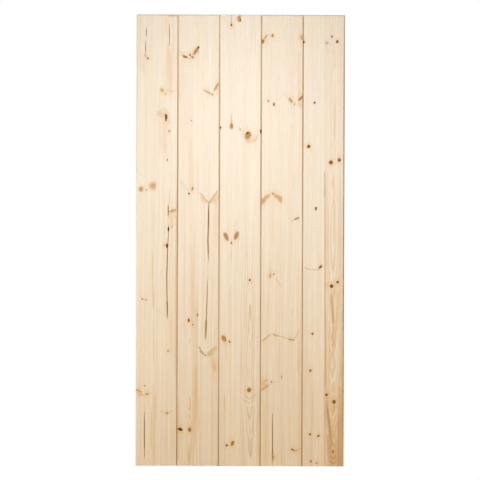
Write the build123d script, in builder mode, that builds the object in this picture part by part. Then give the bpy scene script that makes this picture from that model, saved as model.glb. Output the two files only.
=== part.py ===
"""Plank leaf of a sliding door, in millimetres, +Z up, seen from the front along +Y.

Five tongue-and-groove pine boards stand side by side with a V-joint between them. Each board is
edge-glued from two staves. Three ledges across the back hold the boards together, and countersunk
screws come in through the ledges, so that none shows on the front. A guide groove runs along the
bottom edge. The origin is at the middle of the leaf's thickness and width, at its bottom edge.
"""

import os

from build123d import *

# Leaf and boards
leaf_height = 2040.0
board_count = 5
board_width = 188.5
board_thickness = 22.0
face_chamfer = 3.0
back_arris = 1.0
end_arris = 0.8

# Where the glue line stands between the two staves of each board, from the board's left edge
glue_line_shares = [0.49, 0.51, 0.505, 0.51, 0.522]

# Tongue and groove between two boards
tongue_length = 8.0
tongue_thickness = 6.0
tongue_setback = 9.0
tongue_tip_chamfer = 1.2
tongue_side_clearance = 0.2
tongue_end_clearance = 1.0
back_shoulder_gap = 0.6

# Guide groove along the bottom edge
guide_groove_width = 8.0
guide_groove_depth = 18.0
guide_groove_setback = 7.0

# Ledges across the back
ledge_width = 120.0
ledge_thickness = 22.0
ledge_inset = 15.0
ledge_end_distance = 240.0
ledge_chamfer = 4.0

# Countersunk screws, one into each stave at each ledge, staggered up and down
screw_sides = 12
screw_diameter = 4.5
screw_head_diameter = 9.0
screw_head_depth = 2.4
screw_point_length = 6.0
screw_tip_diameter = 0.8
screw_front_cover = 5.0
screw_stagger = 32.0
screw_clearance = 0.15
recess_span = 4.4
recess_arm = 1.3
recess_depth = 2.2

# Drying checks along the pith of a stave, on the front face
check_width = 2.2
check_depth = 6.0

# One overrun serves every cut that runs out of the wood
overrun = 5.0

# Path of each check: shares of the stave's width from its left edge, and of the leaf's height
check_shares = {
    "board_1_left_stave": [
        [(0.488, 0.970), (0.489, 0.961), (0.483, 0.952)],
        [(0.458, 0.940), (0.453, 0.928), (0.456, 0.916)],
        [(0.452, 0.120), (0.447, 0.090), (0.456, 0.060), (0.468, 0.014)],
    ],
    "board_1_right_stave": [
        [(0.592, 0.979), (0.589, 0.956), (0.592, 0.932)],
        [(0.566, 0.578), (0.558, 0.566), (0.563, 0.554)],
        [(0.571, 0.534), (0.554, 0.508), (0.508, 0.470), (0.484, 0.415), (0.523, 0.333)],
    ],
    "board_2_right_stave": [
        [(0.476, 0.582), (0.470, 0.540), (0.452, 0.500), (0.484, 0.452)],
        [(0.429, 0.412), (0.420, 0.370), (0.381, 0.318), (0.373, 0.284)],
    ],
    "board_4_left_stave": [
        [(0.564, 0.118), (0.559, 0.090), (0.563, 0.050), (0.564, 0.009)],
    ],
}

# Places that follow from the sizes above
leaf_width = board_count * board_width
leaf_left = -leaf_width / 2
front_y = -(board_thickness + ledge_thickness) / 2
back_y = front_y + board_thickness
ledge_back_y = back_y + ledge_thickness
tongue_front_y = front_y + tongue_setback
tongue_back_y = tongue_front_y + tongue_thickness
groove_front_y = tongue_front_y - tongue_side_clearance
groove_back_y = tongue_back_y + tongue_side_clearance
guide_groove_y = front_y + guide_groove_setback + guide_groove_width / 2
screw_length = ledge_thickness + board_thickness - screw_front_cover
ledge_heights = {
    "top_ledge": leaf_height - ledge_end_distance,
    "middle_ledge": leaf_height / 2,
    "bottom_ledge": ledge_end_distance,
}
sides = ("left", "right")


def board_left(board):
    """The x of a board's left edge, with boards counted from 0 at the leaf's left edge."""
    return leaf_left + board * board_width


def glue_line(board):
    """The x of the glue line between a board's two staves."""
    share = glue_line_shares[board % len(glue_line_shares)]
    return board_left(board) + share * board_width


def stave_span(board, side):
    """The left and right x of a stave's front face."""
    if side == "left":
        return board_left(board), glue_line(board)
    return glue_line(board), board_left(board) + board_width


def stave_name(board, side):
    return f"board_{board + 1}_{side}_stave"


def screw_places():
    """Each screw's x and z: at the middle of each stave, in turn above and below the ledge's centre line."""
    places = []
    for height in ledge_heights.values():
        for board in range(board_count):
            for side, rise in zip(sides, (screw_stagger, -screw_stagger)):
                left, right = stave_span(board, side)
                places.append(((left + right) / 2, height + rise))
    return places


def right_edge(x, has_tongue):
    """Outline of a board's right edge, from the front face to the back face."""
    front = [(x - face_chamfer, front_y), (x, front_y + face_chamfer)]
    if not has_tongue:
        return front + [(x, back_y - back_arris), (x - back_arris, back_y)]
    tip = x + tongue_length
    back_shoulder = x - back_shoulder_gap
    return front + [
        (x, tongue_front_y),
        (tip - tongue_tip_chamfer, tongue_front_y),
        (tip, tongue_front_y + tongue_tip_chamfer),
        (tip, tongue_back_y - tongue_tip_chamfer),
        (tip - tongue_tip_chamfer, tongue_back_y),
        (back_shoulder, tongue_back_y),
        (back_shoulder, back_y - back_arris),
        (back_shoulder - back_arris, back_y),
    ]


def left_edge(x, has_groove):
    """Outline of a board's left edge, from the back face to the front face."""
    back = [(x + back_arris, back_y), (x, back_y - back_arris)]
    front = [(x, front_y + face_chamfer), (x + face_chamfer, front_y)]
    if not has_groove:
        return back + front
    bottom = x + tongue_length + tongue_end_clearance
    groove = [(x, groove_back_y), (bottom, groove_back_y), (bottom, groove_front_y), (x, groove_front_y)]
    return back + groove + front


def board_outline(board):
    """Section of a board seen from above, with its tongue on the right and its groove on the left."""
    left = board_left(board)
    has_tongue = board < board_count - 1
    return right_edge(left + board_width, has_tongue) + left_edge(left, board > 0)


def back_plane(x, y, z):
    """A plane that faces backwards, for holes drilled from the back."""
    return Plane(origin=(x, y, z), x_dir=(-1, 0, 0), z_dir=(0, 1, 0))


def check_outline(path, left, width):
    """Centre points of a check on the front face, as x and z."""
    return [(left + across * width, along * leaf_height) for across, along in path]


def make_screw_form(clearance):
    """A screw grown all round by a clearance, with its head's top at the origin and its point down -Z."""
    shank_radius = screw_diameter / 2 + clearance
    tip = screw_length + clearance
    stations = [
        (0, screw_head_diameter / 2 + clearance),
        (-screw_head_depth, shank_radius),
        (screw_point_length - tip, shank_radius),
        (-tip, screw_tip_diameter / 2 + clearance),
    ]

    with BuildPart() as form:
        for height, radius in stations:
            with BuildSketch(Plane.XY.offset(height)):
                RegularPolygon(radius=radius, side_count=screw_sides)
        loft(ruled=True)

    return form.part


def make_stave(board, side):
    """One stave: its share of the board's section, with guide groove, pilot holes and drying checks."""
    name = stave_name(board, side)
    left, right = stave_span(board, side)
    glue_plane = Plane.YZ.offset(glue_line(board))
    pilot = make_screw_form(screw_clearance)
    pilots = [(x, z) for x, z in screw_places() if left < x < right]

    with BuildPart() as stave:
        with BuildSketch():
            with BuildLine():
                Polyline(*board_outline(board), close=True)
            make_face()
        extrude(amount=leaf_height)
        split(bisect_by=glue_plane, keep=Keep.BOTTOM if side == "left" else Keep.TOP)
        chamfer(stave.edges().filter_by(Axis.X).group_by(Axis.Y)[0], length=end_arris)
        with BuildSketch():
            with Locations((0, guide_groove_y)):
                Rectangle(leaf_width + overrun, guide_groove_width)
        extrude(amount=guide_groove_depth, mode=Mode.SUBTRACT)
        with Locations(*[back_plane(x, ledge_back_y, z) for x, z in pilots]):
            add(pilot, mode=Mode.SUBTRACT)
        for path in check_shares.get(name, []):
            points = check_outline(path, left, right - left)
            half = check_width / 2
            with BuildSketch(Plane.XZ.offset(-front_y)):
                with BuildLine():
                    Spline(points[0], *[(x - half, z) for x, z in points[1:-1]], points[-1])
                    Spline(points[0], *[(x + half, z) for x, z in points[1:-1]], points[-1])
                make_face()
            extrude(amount=-check_depth, mode=Mode.SUBTRACT)

    stave.part.label = name
    return stave.part


def make_ledge(name):
    """A ledge with chamfered arrises, drilled and countersunk from the back."""
    height = ledge_heights[name]
    low, high = height - ledge_width / 2, height + ledge_width / 2
    hole = make_screw_form(screw_clearance)
    holes = [(x, z) for x, z in screw_places() if low < z < high]

    with BuildPart() as ledge:
        with BuildSketch(back_plane(0, back_y, height)):
            Rectangle(leaf_width - 2 * ledge_inset, ledge_width)
        extrude(amount=ledge_thickness)
        chamfer(ledge.faces().sort_by(Axis.Y)[-1].edges(), length=ledge_chamfer)
        with Locations(*[back_plane(x, ledge_back_y, z) for x, z in holes]):
            add(hole, mode=Mode.SUBTRACT)

    ledge.part.label = name
    return ledge.part


def make_screw():
    """One screw with a cross recess in its head."""
    with BuildPart() as screw:
        add(make_screw_form(0))
        with BuildSketch():
            Rectangle(recess_span, recess_arm)
            Rectangle(recess_arm, recess_span)
        extrude(amount=-recess_depth, mode=Mode.SUBTRACT)

    return screw.part


def make_screws():
    """All the screws that hold the ledges, with their heads flush in the countersinks."""
    screw = make_screw()

    with BuildPart() as ledge_screws:
        with Locations(*[back_plane(x, ledge_back_y, z) for x, z in screw_places()]):
            add(screw)

    ledge_screws.part.label = "ledge_screws"
    return ledge_screws.part


def main():
    os.makedirs("parts", exist_ok=True)
    pieces = [make_stave(board, side) for board in range(board_count) for side in sides]
    pieces += [make_ledge(name) for name in ledge_heights]
    pieces.append(make_screws())
    for piece in pieces:
        export_step(piece, f"parts/{piece.label}.step")


main()
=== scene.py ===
"""Plank leaf of a sliding door in knotty pine, seen square on, with its finishes, light and camera.

Every stave and ledge is rebuilt as a fine surface that carries the wood's own coordinates: how far a point
is from the stem's pith across the board and into it, and how far along. One pine finish then draws rings,
fibres, knots and stains in those coordinates, so the figure bends round the knots and runs on over edges
and ends.
"""
import math

import bpy
import numpy as np
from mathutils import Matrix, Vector


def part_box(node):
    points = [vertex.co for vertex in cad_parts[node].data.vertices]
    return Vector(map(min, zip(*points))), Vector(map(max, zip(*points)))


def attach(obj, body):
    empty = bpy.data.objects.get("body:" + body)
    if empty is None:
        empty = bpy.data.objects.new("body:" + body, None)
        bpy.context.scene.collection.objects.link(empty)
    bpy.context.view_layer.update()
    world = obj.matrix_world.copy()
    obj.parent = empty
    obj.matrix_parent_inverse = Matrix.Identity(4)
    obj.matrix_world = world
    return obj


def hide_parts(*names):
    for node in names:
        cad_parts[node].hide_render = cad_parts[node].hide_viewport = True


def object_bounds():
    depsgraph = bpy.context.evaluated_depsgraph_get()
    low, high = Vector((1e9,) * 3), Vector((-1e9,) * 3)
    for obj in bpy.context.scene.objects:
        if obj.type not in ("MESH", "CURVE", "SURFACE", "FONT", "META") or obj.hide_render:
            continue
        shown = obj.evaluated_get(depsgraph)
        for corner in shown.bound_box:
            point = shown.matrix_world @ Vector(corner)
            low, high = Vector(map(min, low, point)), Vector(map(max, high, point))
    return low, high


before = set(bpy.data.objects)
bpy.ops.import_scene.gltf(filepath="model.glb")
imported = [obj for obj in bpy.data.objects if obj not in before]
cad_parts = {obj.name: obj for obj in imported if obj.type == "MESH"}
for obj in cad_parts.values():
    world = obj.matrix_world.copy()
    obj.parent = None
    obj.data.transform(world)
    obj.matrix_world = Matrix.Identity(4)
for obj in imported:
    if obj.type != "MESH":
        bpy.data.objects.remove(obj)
cad_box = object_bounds()
cad_low, cad_high = cad_box

# The leaf, from the frame, in metres
leaf_left = cad_low.x
leaf_height = cad_high.z
front_y = cad_low.y
back_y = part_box("top_ledge")[0].y
ledge_back_y = cad_high.y
board_count = 5
sides = ("left", "right")

# Section of the boards, as in the solids
face_chamfer = 0.003
back_arris = 0.001
end_arris = 0.0008
tongue_length = 0.008
tongue_thickness = 0.006
tongue_setback = 0.009
tongue_tip_chamfer = 0.0012
tongue_side_clearance = 0.0002
tongue_end_clearance = 0.001
back_shoulder_gap = 0.0006

# Guide groove along the bottom edge, as in the solids
guide_setback = 0.007
guide_width = 0.008
guide_top = 0.018
guide_front_y = front_y + guide_setback
guide_back_y = guide_front_y + guide_width

# Arrises that are softer than in the solids, and the share of a soft one that lies before its corner
soft_arris = 0.0004
soft_arris_share = 0.7
glue_arris = 0.00012

# Ledges and screws, as in the solids
ledge_names = ("top_ledge", "middle_ledge", "bottom_ledge")
ledge_chamfer = 0.004
screw_stagger = 0.032
screw_head_radius = 0.0045
screw_head_depth = 0.0024
screw_shank_radius = 0.00225
screw_length = 0.039
screw_point_length = 0.006
screw_tip_radius = 0.0004
screw_clearance = 0.00015
recess_half_span = 0.0022
recess_half_arm = 0.00065
recess_depth = 0.0022

# Fineness of the surfaces, with the angle in degrees past which an arris is sharp
front_column_width = 0.0021
back_column_width = 0.0035
ledge_column_width = 0.0045
grid_digits = 7
row_count = 430
row_samples = 6000
row_crowding = 1.6
row_crowding_reach = 0.022
row_clearance = 0.0012
arris_row_share = 0.3
sharp_angle = 28

# Screw heads: lines of half their grid, where it starts to round off to a disc, and the depth of the rim
screw_head_lines = [0.0, 0.00055, 0.00075, 0.0012, 0.0021, 0.0023, 0.0026, 0.0032, 0.0040, screw_head_radius]
screw_square_reach = 0.0026
screw_rim_depth = 0.0002

# Screw holes: half width and cells of the square that each takes out of a ledge's grid
hole_patch = 0.008
hole_cells = 4

# Seeds, the shares of a wavelength that are added up, and how far apart along the grain pieces are cut
seeds_per_board = 10
pith_depth_seed = 50
check_seed = 70
ledge_seed = 100
screw_seed = 5
wave_shares = (1.0, 0.61, 0.37)
grain_spacing = 3.0

# Pith: its samples, how many of them a moving mean takes in, and the slow wander of its depth
pith_samples = 2041
pith_rounding = 31
pith_depth_wander = 0.0012
pith_depth_wave = 0.21

# Drying checks: size, how ragged they run and open, the notch as shares of lip and depth, and their stain
check_width = 0.0022
check_depth = 0.006
check_ragged = 0.00035
check_ragged_wave = 0.037
check_bluntness = 0.45
check_opening_ragged = 0.22
check_opening_wave = 0.027
check_least_opening = 0.02
check_least_lip = 0.0006
check_notch_across = (-0.5, 0.0, 0.5)
check_notch_down = (0.62, 1.0, 0.62)
check_stain = 0.0014
check_warmth = 0.9
check_darkness = 0.60

# Marks in the wood: the margin beside a stave in which a mark is still its own, and the shapes of the fields
mark_margin = 0.004
far_outside = -3.0
least_weight = 1e-6
knot_blend = 6
least_taper = 0.25
most_taper = 2.0
halo_strength = 0.8
halo_across = 0.008
halo_along = 0.012
push_reach = 1.15
push_length = 1.7
push_ease = 0.8
streak_overrun = 0.15
line_fade = 2.2
line_end_width = 0.6

# Branches that come through to the back: the least size of knot, and how the back's knot follows the front's
through_size = 0.0062
through_spread = 0.85
through_margin = 0.01
through_rise = 0.012
through_width = 0.9
through_length = 1.1
through_lean = 8.0
through_shade = 0.8

# Wood of the ledges: how far above the boards their knots start, how deep the pith lies and how it wanders,
# then the timber's tone, warmth and ring contrast
ledge_foot = 0.001
ledge_pith_depth = 0.024
ledge_pith_wander = 0.006
ledge_pith_wave = 0.9
ledge_depth_wander = 0.010
ledge_depth_wave = 0.7
ledge_timber = (0.02, 0.12, 0.6)

# Places of the seam's tints in their row of colours: painted highlight, painted shade, the joints' dark with
# painted shade, and the right edge's painted grey shade
lit_place = 0.2
shaded_place = 0.4
joint_dark_and_shade_place = 0.8
edge_shade_place = 0.9

# Painted light and shade on each joint's left and right chamfers at three shares of the height, and on the
# right edge at five, deeper towards the bottom, and how many corners of a chamfer take them
joint_heights = (0.0, 0.5, 1.0)
joint_light_and_shade_places = [
    ((0.80, 0.58, 0.38), (0.80, 0.43, 0.32)), ((0.78, 0.56, 0.42), (0.76, 0.42, 0.20)),
    ((0.80, 0.48, 0.40), (0.80, 0.42, 0.34)), ((0.80, 0.48, 0.33), (0.80, 0.48, 0.58)),
]
edge_heights = (0.0, 0.1, 0.27, 0.5, 1.0)
edge_shade_places = (0.91, 1.0, 1.0, 0.90, 0.84)
tinted_corners = 3

# Colours of pine, as plain linear values
early_wood = (0.712, 0.550, 0.342, 1.0)
late_wood = (0.53, 0.30, 0.115, 1.0)
warm_wood = (0.645, 0.376, 0.116, 1.0)
stained_wood = (0.17, 0.070, 0.019, 1.0)
# Tints that multiply the chamfers' colour: none, a painted highlight above one, painted shade, the joints'
# dark with painted shade, and the right edge's painted shade in grey and deeper
plain_tint = (1.0, 1.0, 1.0, 1.0)
seam_lit = (2.10, 2.20, 2.50, 1.0)
seam_shaded = (0.94, 0.94, 0.96, 1.0)
seam_dark_and_shade = (0.61, 0.43, 0.24, 1.0)
edge_painted_shade = (0.17, 0.175, 0.19, 1.0)
edge_painted_deep_shade = (0.10, 0.088, 0.075, 1.0)
knot_peach = (0.78, 0.50, 0.25, 1.0)
knot_tan = (0.60, 0.35, 0.15, 1.0)
knot_brown = (0.42, 0.19, 0.056, 1.0)
knot_dark = (0.155, 0.068, 0.017, 1.0)
knot_black = (0.036, 0.017, 0.004, 1.0)
knot_stops = [(0.0, knot_peach), (0.22, knot_tan), (0.50, knot_brown), (0.78, knot_dark), (1.0, knot_black)]
chamfer_light_and_shade_stops = [
    (0.0, plain_tint), (lit_place, seam_lit), (shaded_place, seam_shaded), (joint_dark_and_shade_place, seam_dark_and_shade),
    (edge_shade_place, edge_painted_shade), (1.0, edge_painted_deep_shade),
]
board_lightness = 1.0
ledge_lightness = 0.98

# Noise in the finishes: cells to a unit along each axis, then detail and roughness, and the row for growth
wander_noise = ((14.0, 14.0, 1.6), 2.0, 0.5)
growth_noise = ((90.0, 1.0, 1.0), 1.0, 0.5)
ragged_noise = ((160.0, 160.0, 9.0), 2.0, 0.5)
broad_noise = ((48.0, 48.0, 0.9), 2.0, 0.6)
streak_noise = ((170.0, 170.0, 4.0), 3.0, 0.75)
fibre_noise = ((1500.0, 1500.0, 16.0), 2.0, 0.6)
hue_noise = ((55.0, 55.0, 1.6), 4.0, 0.75)
knot_edge_noise = ((420.0, 420.0, 260.0), 2.0, 0.5)
knot_ring_noise = ((5.0, 1.0, 1.0), 1.0, 0.5)
mottle_noise = ((260.0, 260.0, 200.0), 2.0, 0.5)
zinc_noise = ((300.0, 300.0, 300.0), 3.0, 0.5)
growth_row = 0.5

# Rings: their width and shifts in metres, where late wood rises and breaks off, and how much the rings differ
ring_width = 0.0068
wander_shift = 0.0060
growth_shift = 0.0050
ragged_shift = 0.0011
late_rise = (0.35, 0.90)
late_break = (0.93, 1.0)
vigour_power = 2.0
vigour_spread = 1.3
least_vigour = 0.25
late_strength = 0.70

# Shares of stain, timber and noise in the warmth and the level of the wood, and in its dark stains
stain_warmth = 1.25
timber_warmth = 0.72
hue_warmth = 1.15
most_warmth = 0.95
broad_level = 0.34
streak_level = 0.18
fibre_level = 0.15
gamma_slope = -1.67
gamma_start = 2.67
stain_darkness = 1.35
fibre_stain = 0.10
stain_start = 0.02

# Knots: roughness and softness of the edge, span of the rim, and what rim, rings and mottle add to the shade
knot_edge_roughness = 0.22
pale_shade = 0.45
pale_softness = 0.9
least_softness = 0.12
knot_rim = (0.04, 0.42)
rim_shade = 0.12
knot_ring_shade = 0.22
mottle_shade = 0.45

# Gloss and relief of the wood
plain_gloss = 1.0
dark_gloss = 0.0
stain_cover = 1.6
resin_ior = 1.7
wood_roughness = 0.42
late_roughness = -0.08
fibre_roughness = 0.16
late_relief = 0.5
bump_strength = 0.25
bump_distance = 0.0003

# Yellow zinc of the screws
zinc_stops = [(0.25, (0.36, 0.28, 0.13, 1.0)), (0.75, (0.55, 0.46, 0.27, 1.0))]
zinc_middle = 0.5
zinc_roughness = 0.46
zinc_cloudiness = 0.2

# Floor and surroundings
full_white = (1.0, 1.0, 1.0, 1.0)
floor_white = (0.92, 0.92, 0.92, 1.0)
floor_roughness = 0.9
floor_glow = 1.02
floor_glow_share = 0.965
floor_half_width = 6.0
floor_drop = 0.012
world_light = 0.08

# Lamps: name, place, target, width and height in metres, and power in watts
lamps = [
    ("front_softbox", (-0.12, -6.5, 2.35), (0.0, 0.0, 1.2), 1.8, 2.0, 175.5),
    ("left_fill", (-1.4, -1.4, 0.2), (0.0, 0.0, 0.3), 0.8, 0.8, 11.0),
    ("right_fill", (1.4, -1.4, 0.2), (0.0, 0.0, 0.3), 0.8, 0.8, 9.2),
    ("back_softbox", (0.4, 6.3, 2.2), (0.0, 0.0, 1.1), 1.8, 2.0, 184.0),
]

# The camera, and the photograph's frame: where the leaf's edges lie in it, in pixels
camera_distance = 5.0
sensor_width = 36.0
photo_size = 480
photo_top = 14.7
photo_bottom = 466.1
photo_left_at_top = 136.5
photo_left_at_bottom = 134.95
photo_middle = photo_size / 2
photo_left = (photo_left_at_top + photo_left_at_bottom) / 2
photo_lean = (photo_left_at_top - photo_left_at_bottom) / (photo_bottom - photo_top)
metres_per_pixel = leaf_height / (photo_bottom - photo_top)

# Pith of each stave, from the top down: shares of the stave's width from its left edge, and of the height
pith_shares = {
    "board_1_left_stave": [
        (0.497, 1.0), (0.488, 0.970), (0.489, 0.961), (0.483, 0.952), (0.458, 0.940), (0.453, 0.928),
        (0.456, 0.916), (0.517, 0.62), (0.468, 0.37), (0.468, 0.18), (0.452, 0.120), (0.447, 0.090),
        (0.456, 0.060), (0.468, 0.014), (0.470, 0.0),
    ],
    "board_1_right_stave": [
        (0.589, 1.0), (0.592, 0.979), (0.589, 0.956), (0.592, 0.932), (0.457, 0.775), (0.518, 0.68),
        (0.566, 0.578), (0.562, 0.566), (0.570, 0.554), (0.580, 0.534), (0.570, 0.508), (0.525, 0.470),
        (0.502, 0.415), (0.540, 0.333), (0.558, 0.25), (0.528, 0.12), (0.528, 0.0),
    ],
    "board_2_left_stave": [
        (0.59, 1.0), (0.60, 0.90), (0.62, 0.76), (0.56, 0.60), (0.58, 0.33), (0.58, 0.08), (0.57, 0.0),
    ],
    "board_2_right_stave": [
        (0.514, 1.0), (0.564, 0.83), (0.476, 0.582), (0.470, 0.540), (0.452, 0.500), (0.484, 0.452),
        (0.429, 0.412), (0.420, 0.370), (0.381, 0.318), (0.373, 0.284), (0.385, 0.245), (0.435, 0.10),
        (0.435, 0.0),
    ],
    "board_3_left_stave": [
        (0.56, 1.0), (0.57, 0.97), (0.57, 0.75), (0.58, 0.50), (0.56, 0.28), (0.56, 0.04), (0.56, 0.0),
    ],
    "board_3_right_stave": [
        (0.58, 1.0), (0.55, 0.90), (0.45, 0.73), (0.47, 0.41), (0.47, 0.28), (0.45, 0.17), (0.55, 0.0),
    ],
    "board_4_left_stave": [
        (0.507, 1.0), (0.517, 0.95), (0.527, 0.80), (0.527, 0.60), (0.527, 0.42), (0.497, 0.29),
        (0.517, 0.18), (0.577, 0.118), (0.573, 0.090), (0.577, 0.050), (0.578, 0.009), (0.578, 0.0),
    ],
    "board_4_right_stave": [
        (0.49, 1.0), (0.51, 0.81), (0.57, 0.62), (0.59, 0.54), (0.49, 0.28), (0.57, 0.04), (0.57, 0.0),
    ],
    "board_5_left_stave": [(0.50, 1.0), (0.55, 0.70), (0.50, 0.30), (0.50, 0.0)],
    "board_5_right_stave": [
        (0.44, 1.0), (0.47, 0.75), (0.45, 0.50), (0.43, 0.30), (0.45, 0.15), (0.44, 0.0),
    ],
}

# How deep the pith lies behind each stave's front face, in metres, at rows of the photograph
pith_depths = {
    "board_1_left_stave": [(14, 0.003), (466, 0.004)],
    "board_1_right_stave": [(14, 0.002), (466, 0.003)],
    "board_2_left_stave": [
        (14, 0.006), (160, 0.009), (300, 0.006), (400, 0.010), (440, 0.014), (466, 0.018),
    ],
    "board_2_right_stave": [(14, 0.004), (466, 0.003)],
    "board_3_left_stave": [(14, 0.003), (240, 0.005), (466, 0.006)],
    "board_3_right_stave": [
        (14, 0.005), (58, 0.013), (110, 0.011), (200, 0.009), (280, 0.016), (314, 0.005), (345, 0.016),
        (358, 0.011), (372, 0.015), (388, 0.009), (400, 0.012), (436, 0.023), (466, 0.028),
    ],
    "board_4_left_stave": [(14, 0.003), (466, 0.003)],
    "board_4_right_stave": [(14, 0.007), (190, 0.010), (330, 0.006), (466, 0.009)],
    "board_5_left_stave": [(14, 0.034), (150, 0.038), (300, 0.033), (466, 0.040)],
    "board_5_right_stave": [
        (14, 0.016), (60, 0.021), (110, 0.014), (190, 0.020), (232, 0.013), (280, 0.021), (318, 0.009),
        (354, 0.025), (366, 0.021), (390, 0.030), (404, 0.022), (420, 0.032), (440, 0.040), (452, 0.046),
        (466, 0.056),
    ],
}

# Drying checks: the heights they start and end at, as shares of the leaf's height
check_spans = {
    "board_1_left_stave": [(0.970, 0.952), (0.940, 0.916), (0.120, 0.014)],
    "board_1_right_stave": [(0.979, 0.932), (0.578, 0.554), (0.534, 0.333)],
    "board_2_right_stave": [(0.582, 0.452), (0.412, 0.284)],
    "board_4_left_stave": [(0.118, 0.009)],
}

# Tone of each stave at rows of the photograph: how dark, how warm, and how strongly its rings show; every
# stave runs warmer towards the bottom
timbers = {
    "board_1_left_stave": [
        (14, -0.03, 0.10, 0.45), (110, -0.01, 0.06, 0.45), (300, -0.02, 0.06, 0.45),
        (466, -0.01, 0.26, 0.50),
    ],
    "board_1_right_stave": [
        (14, -0.03, 0.18, 0.50), (110, 0.0, 0.24, 0.50), (280, -0.02, 0.16, 0.50), (466, -0.01, 0.30, 0.50),
    ],
    "board_2_left_stave": [
        (14, -0.01, 0.14, 0.55), (110, 0.02, 0.18, 0.55), (300, -0.01, 0.16, 0.55), (466, 0.0, 0.37, 0.55),
    ],
    "board_2_right_stave": [
        (14, 0.0, 0.11, 0.50), (120, 0.015, 0.14, 0.50), (300, -0.02, 0.12, 0.50), (466, -0.01, 0.26, 0.50),
    ],
    "board_3_left_stave": [
        (14, 0.0, -0.10, 0.40), (140, 0.02, -0.16, 0.40), (300, -0.01, 0.04, 0.42), (466, 0.0, 0.34, 0.45),
    ],
    "board_3_right_stave": [
        (14, 0.0, -0.04, 0.75), (150, 0.035, 0.02, 0.75), (300, 0.0, 0.13, 0.80), (466, -0.01, 0.24, 0.85),
    ],
    "board_4_left_stave": [
        (14, 0.01, 0.14, 0.50), (150, 0.03, 0.17, 0.50), (300, 0.005, 0.17, 0.50), (466, -0.01, 0.27, 0.50),
    ],
    "board_4_right_stave": [
        (14, 0.01, 0.16, 0.60), (140, 0.03, 0.18, 0.60), (300, 0.01, 0.17, 0.60), (466, 0.01, 0.27, 0.60),
    ],
    "board_5_left_stave": [
        (14, -0.01, -0.20, 0.25), (190, 0.005, -0.07, 0.25), (300, 0.015, 0.12, 0.28),
        (400, 0.04, 0.30, 0.30), (466, 0.045, 0.38, 0.32),
    ],
    "board_5_right_stave": [
        (14, 0.01, 0.14, 0.60), (240, 0.01, 0.17, 0.70), (310, 0.035, 0.37, 0.95), (400, 0.075, 0.58, 1.1),
        (466, 0.10, 0.80, 1.2),
    ],
}
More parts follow.
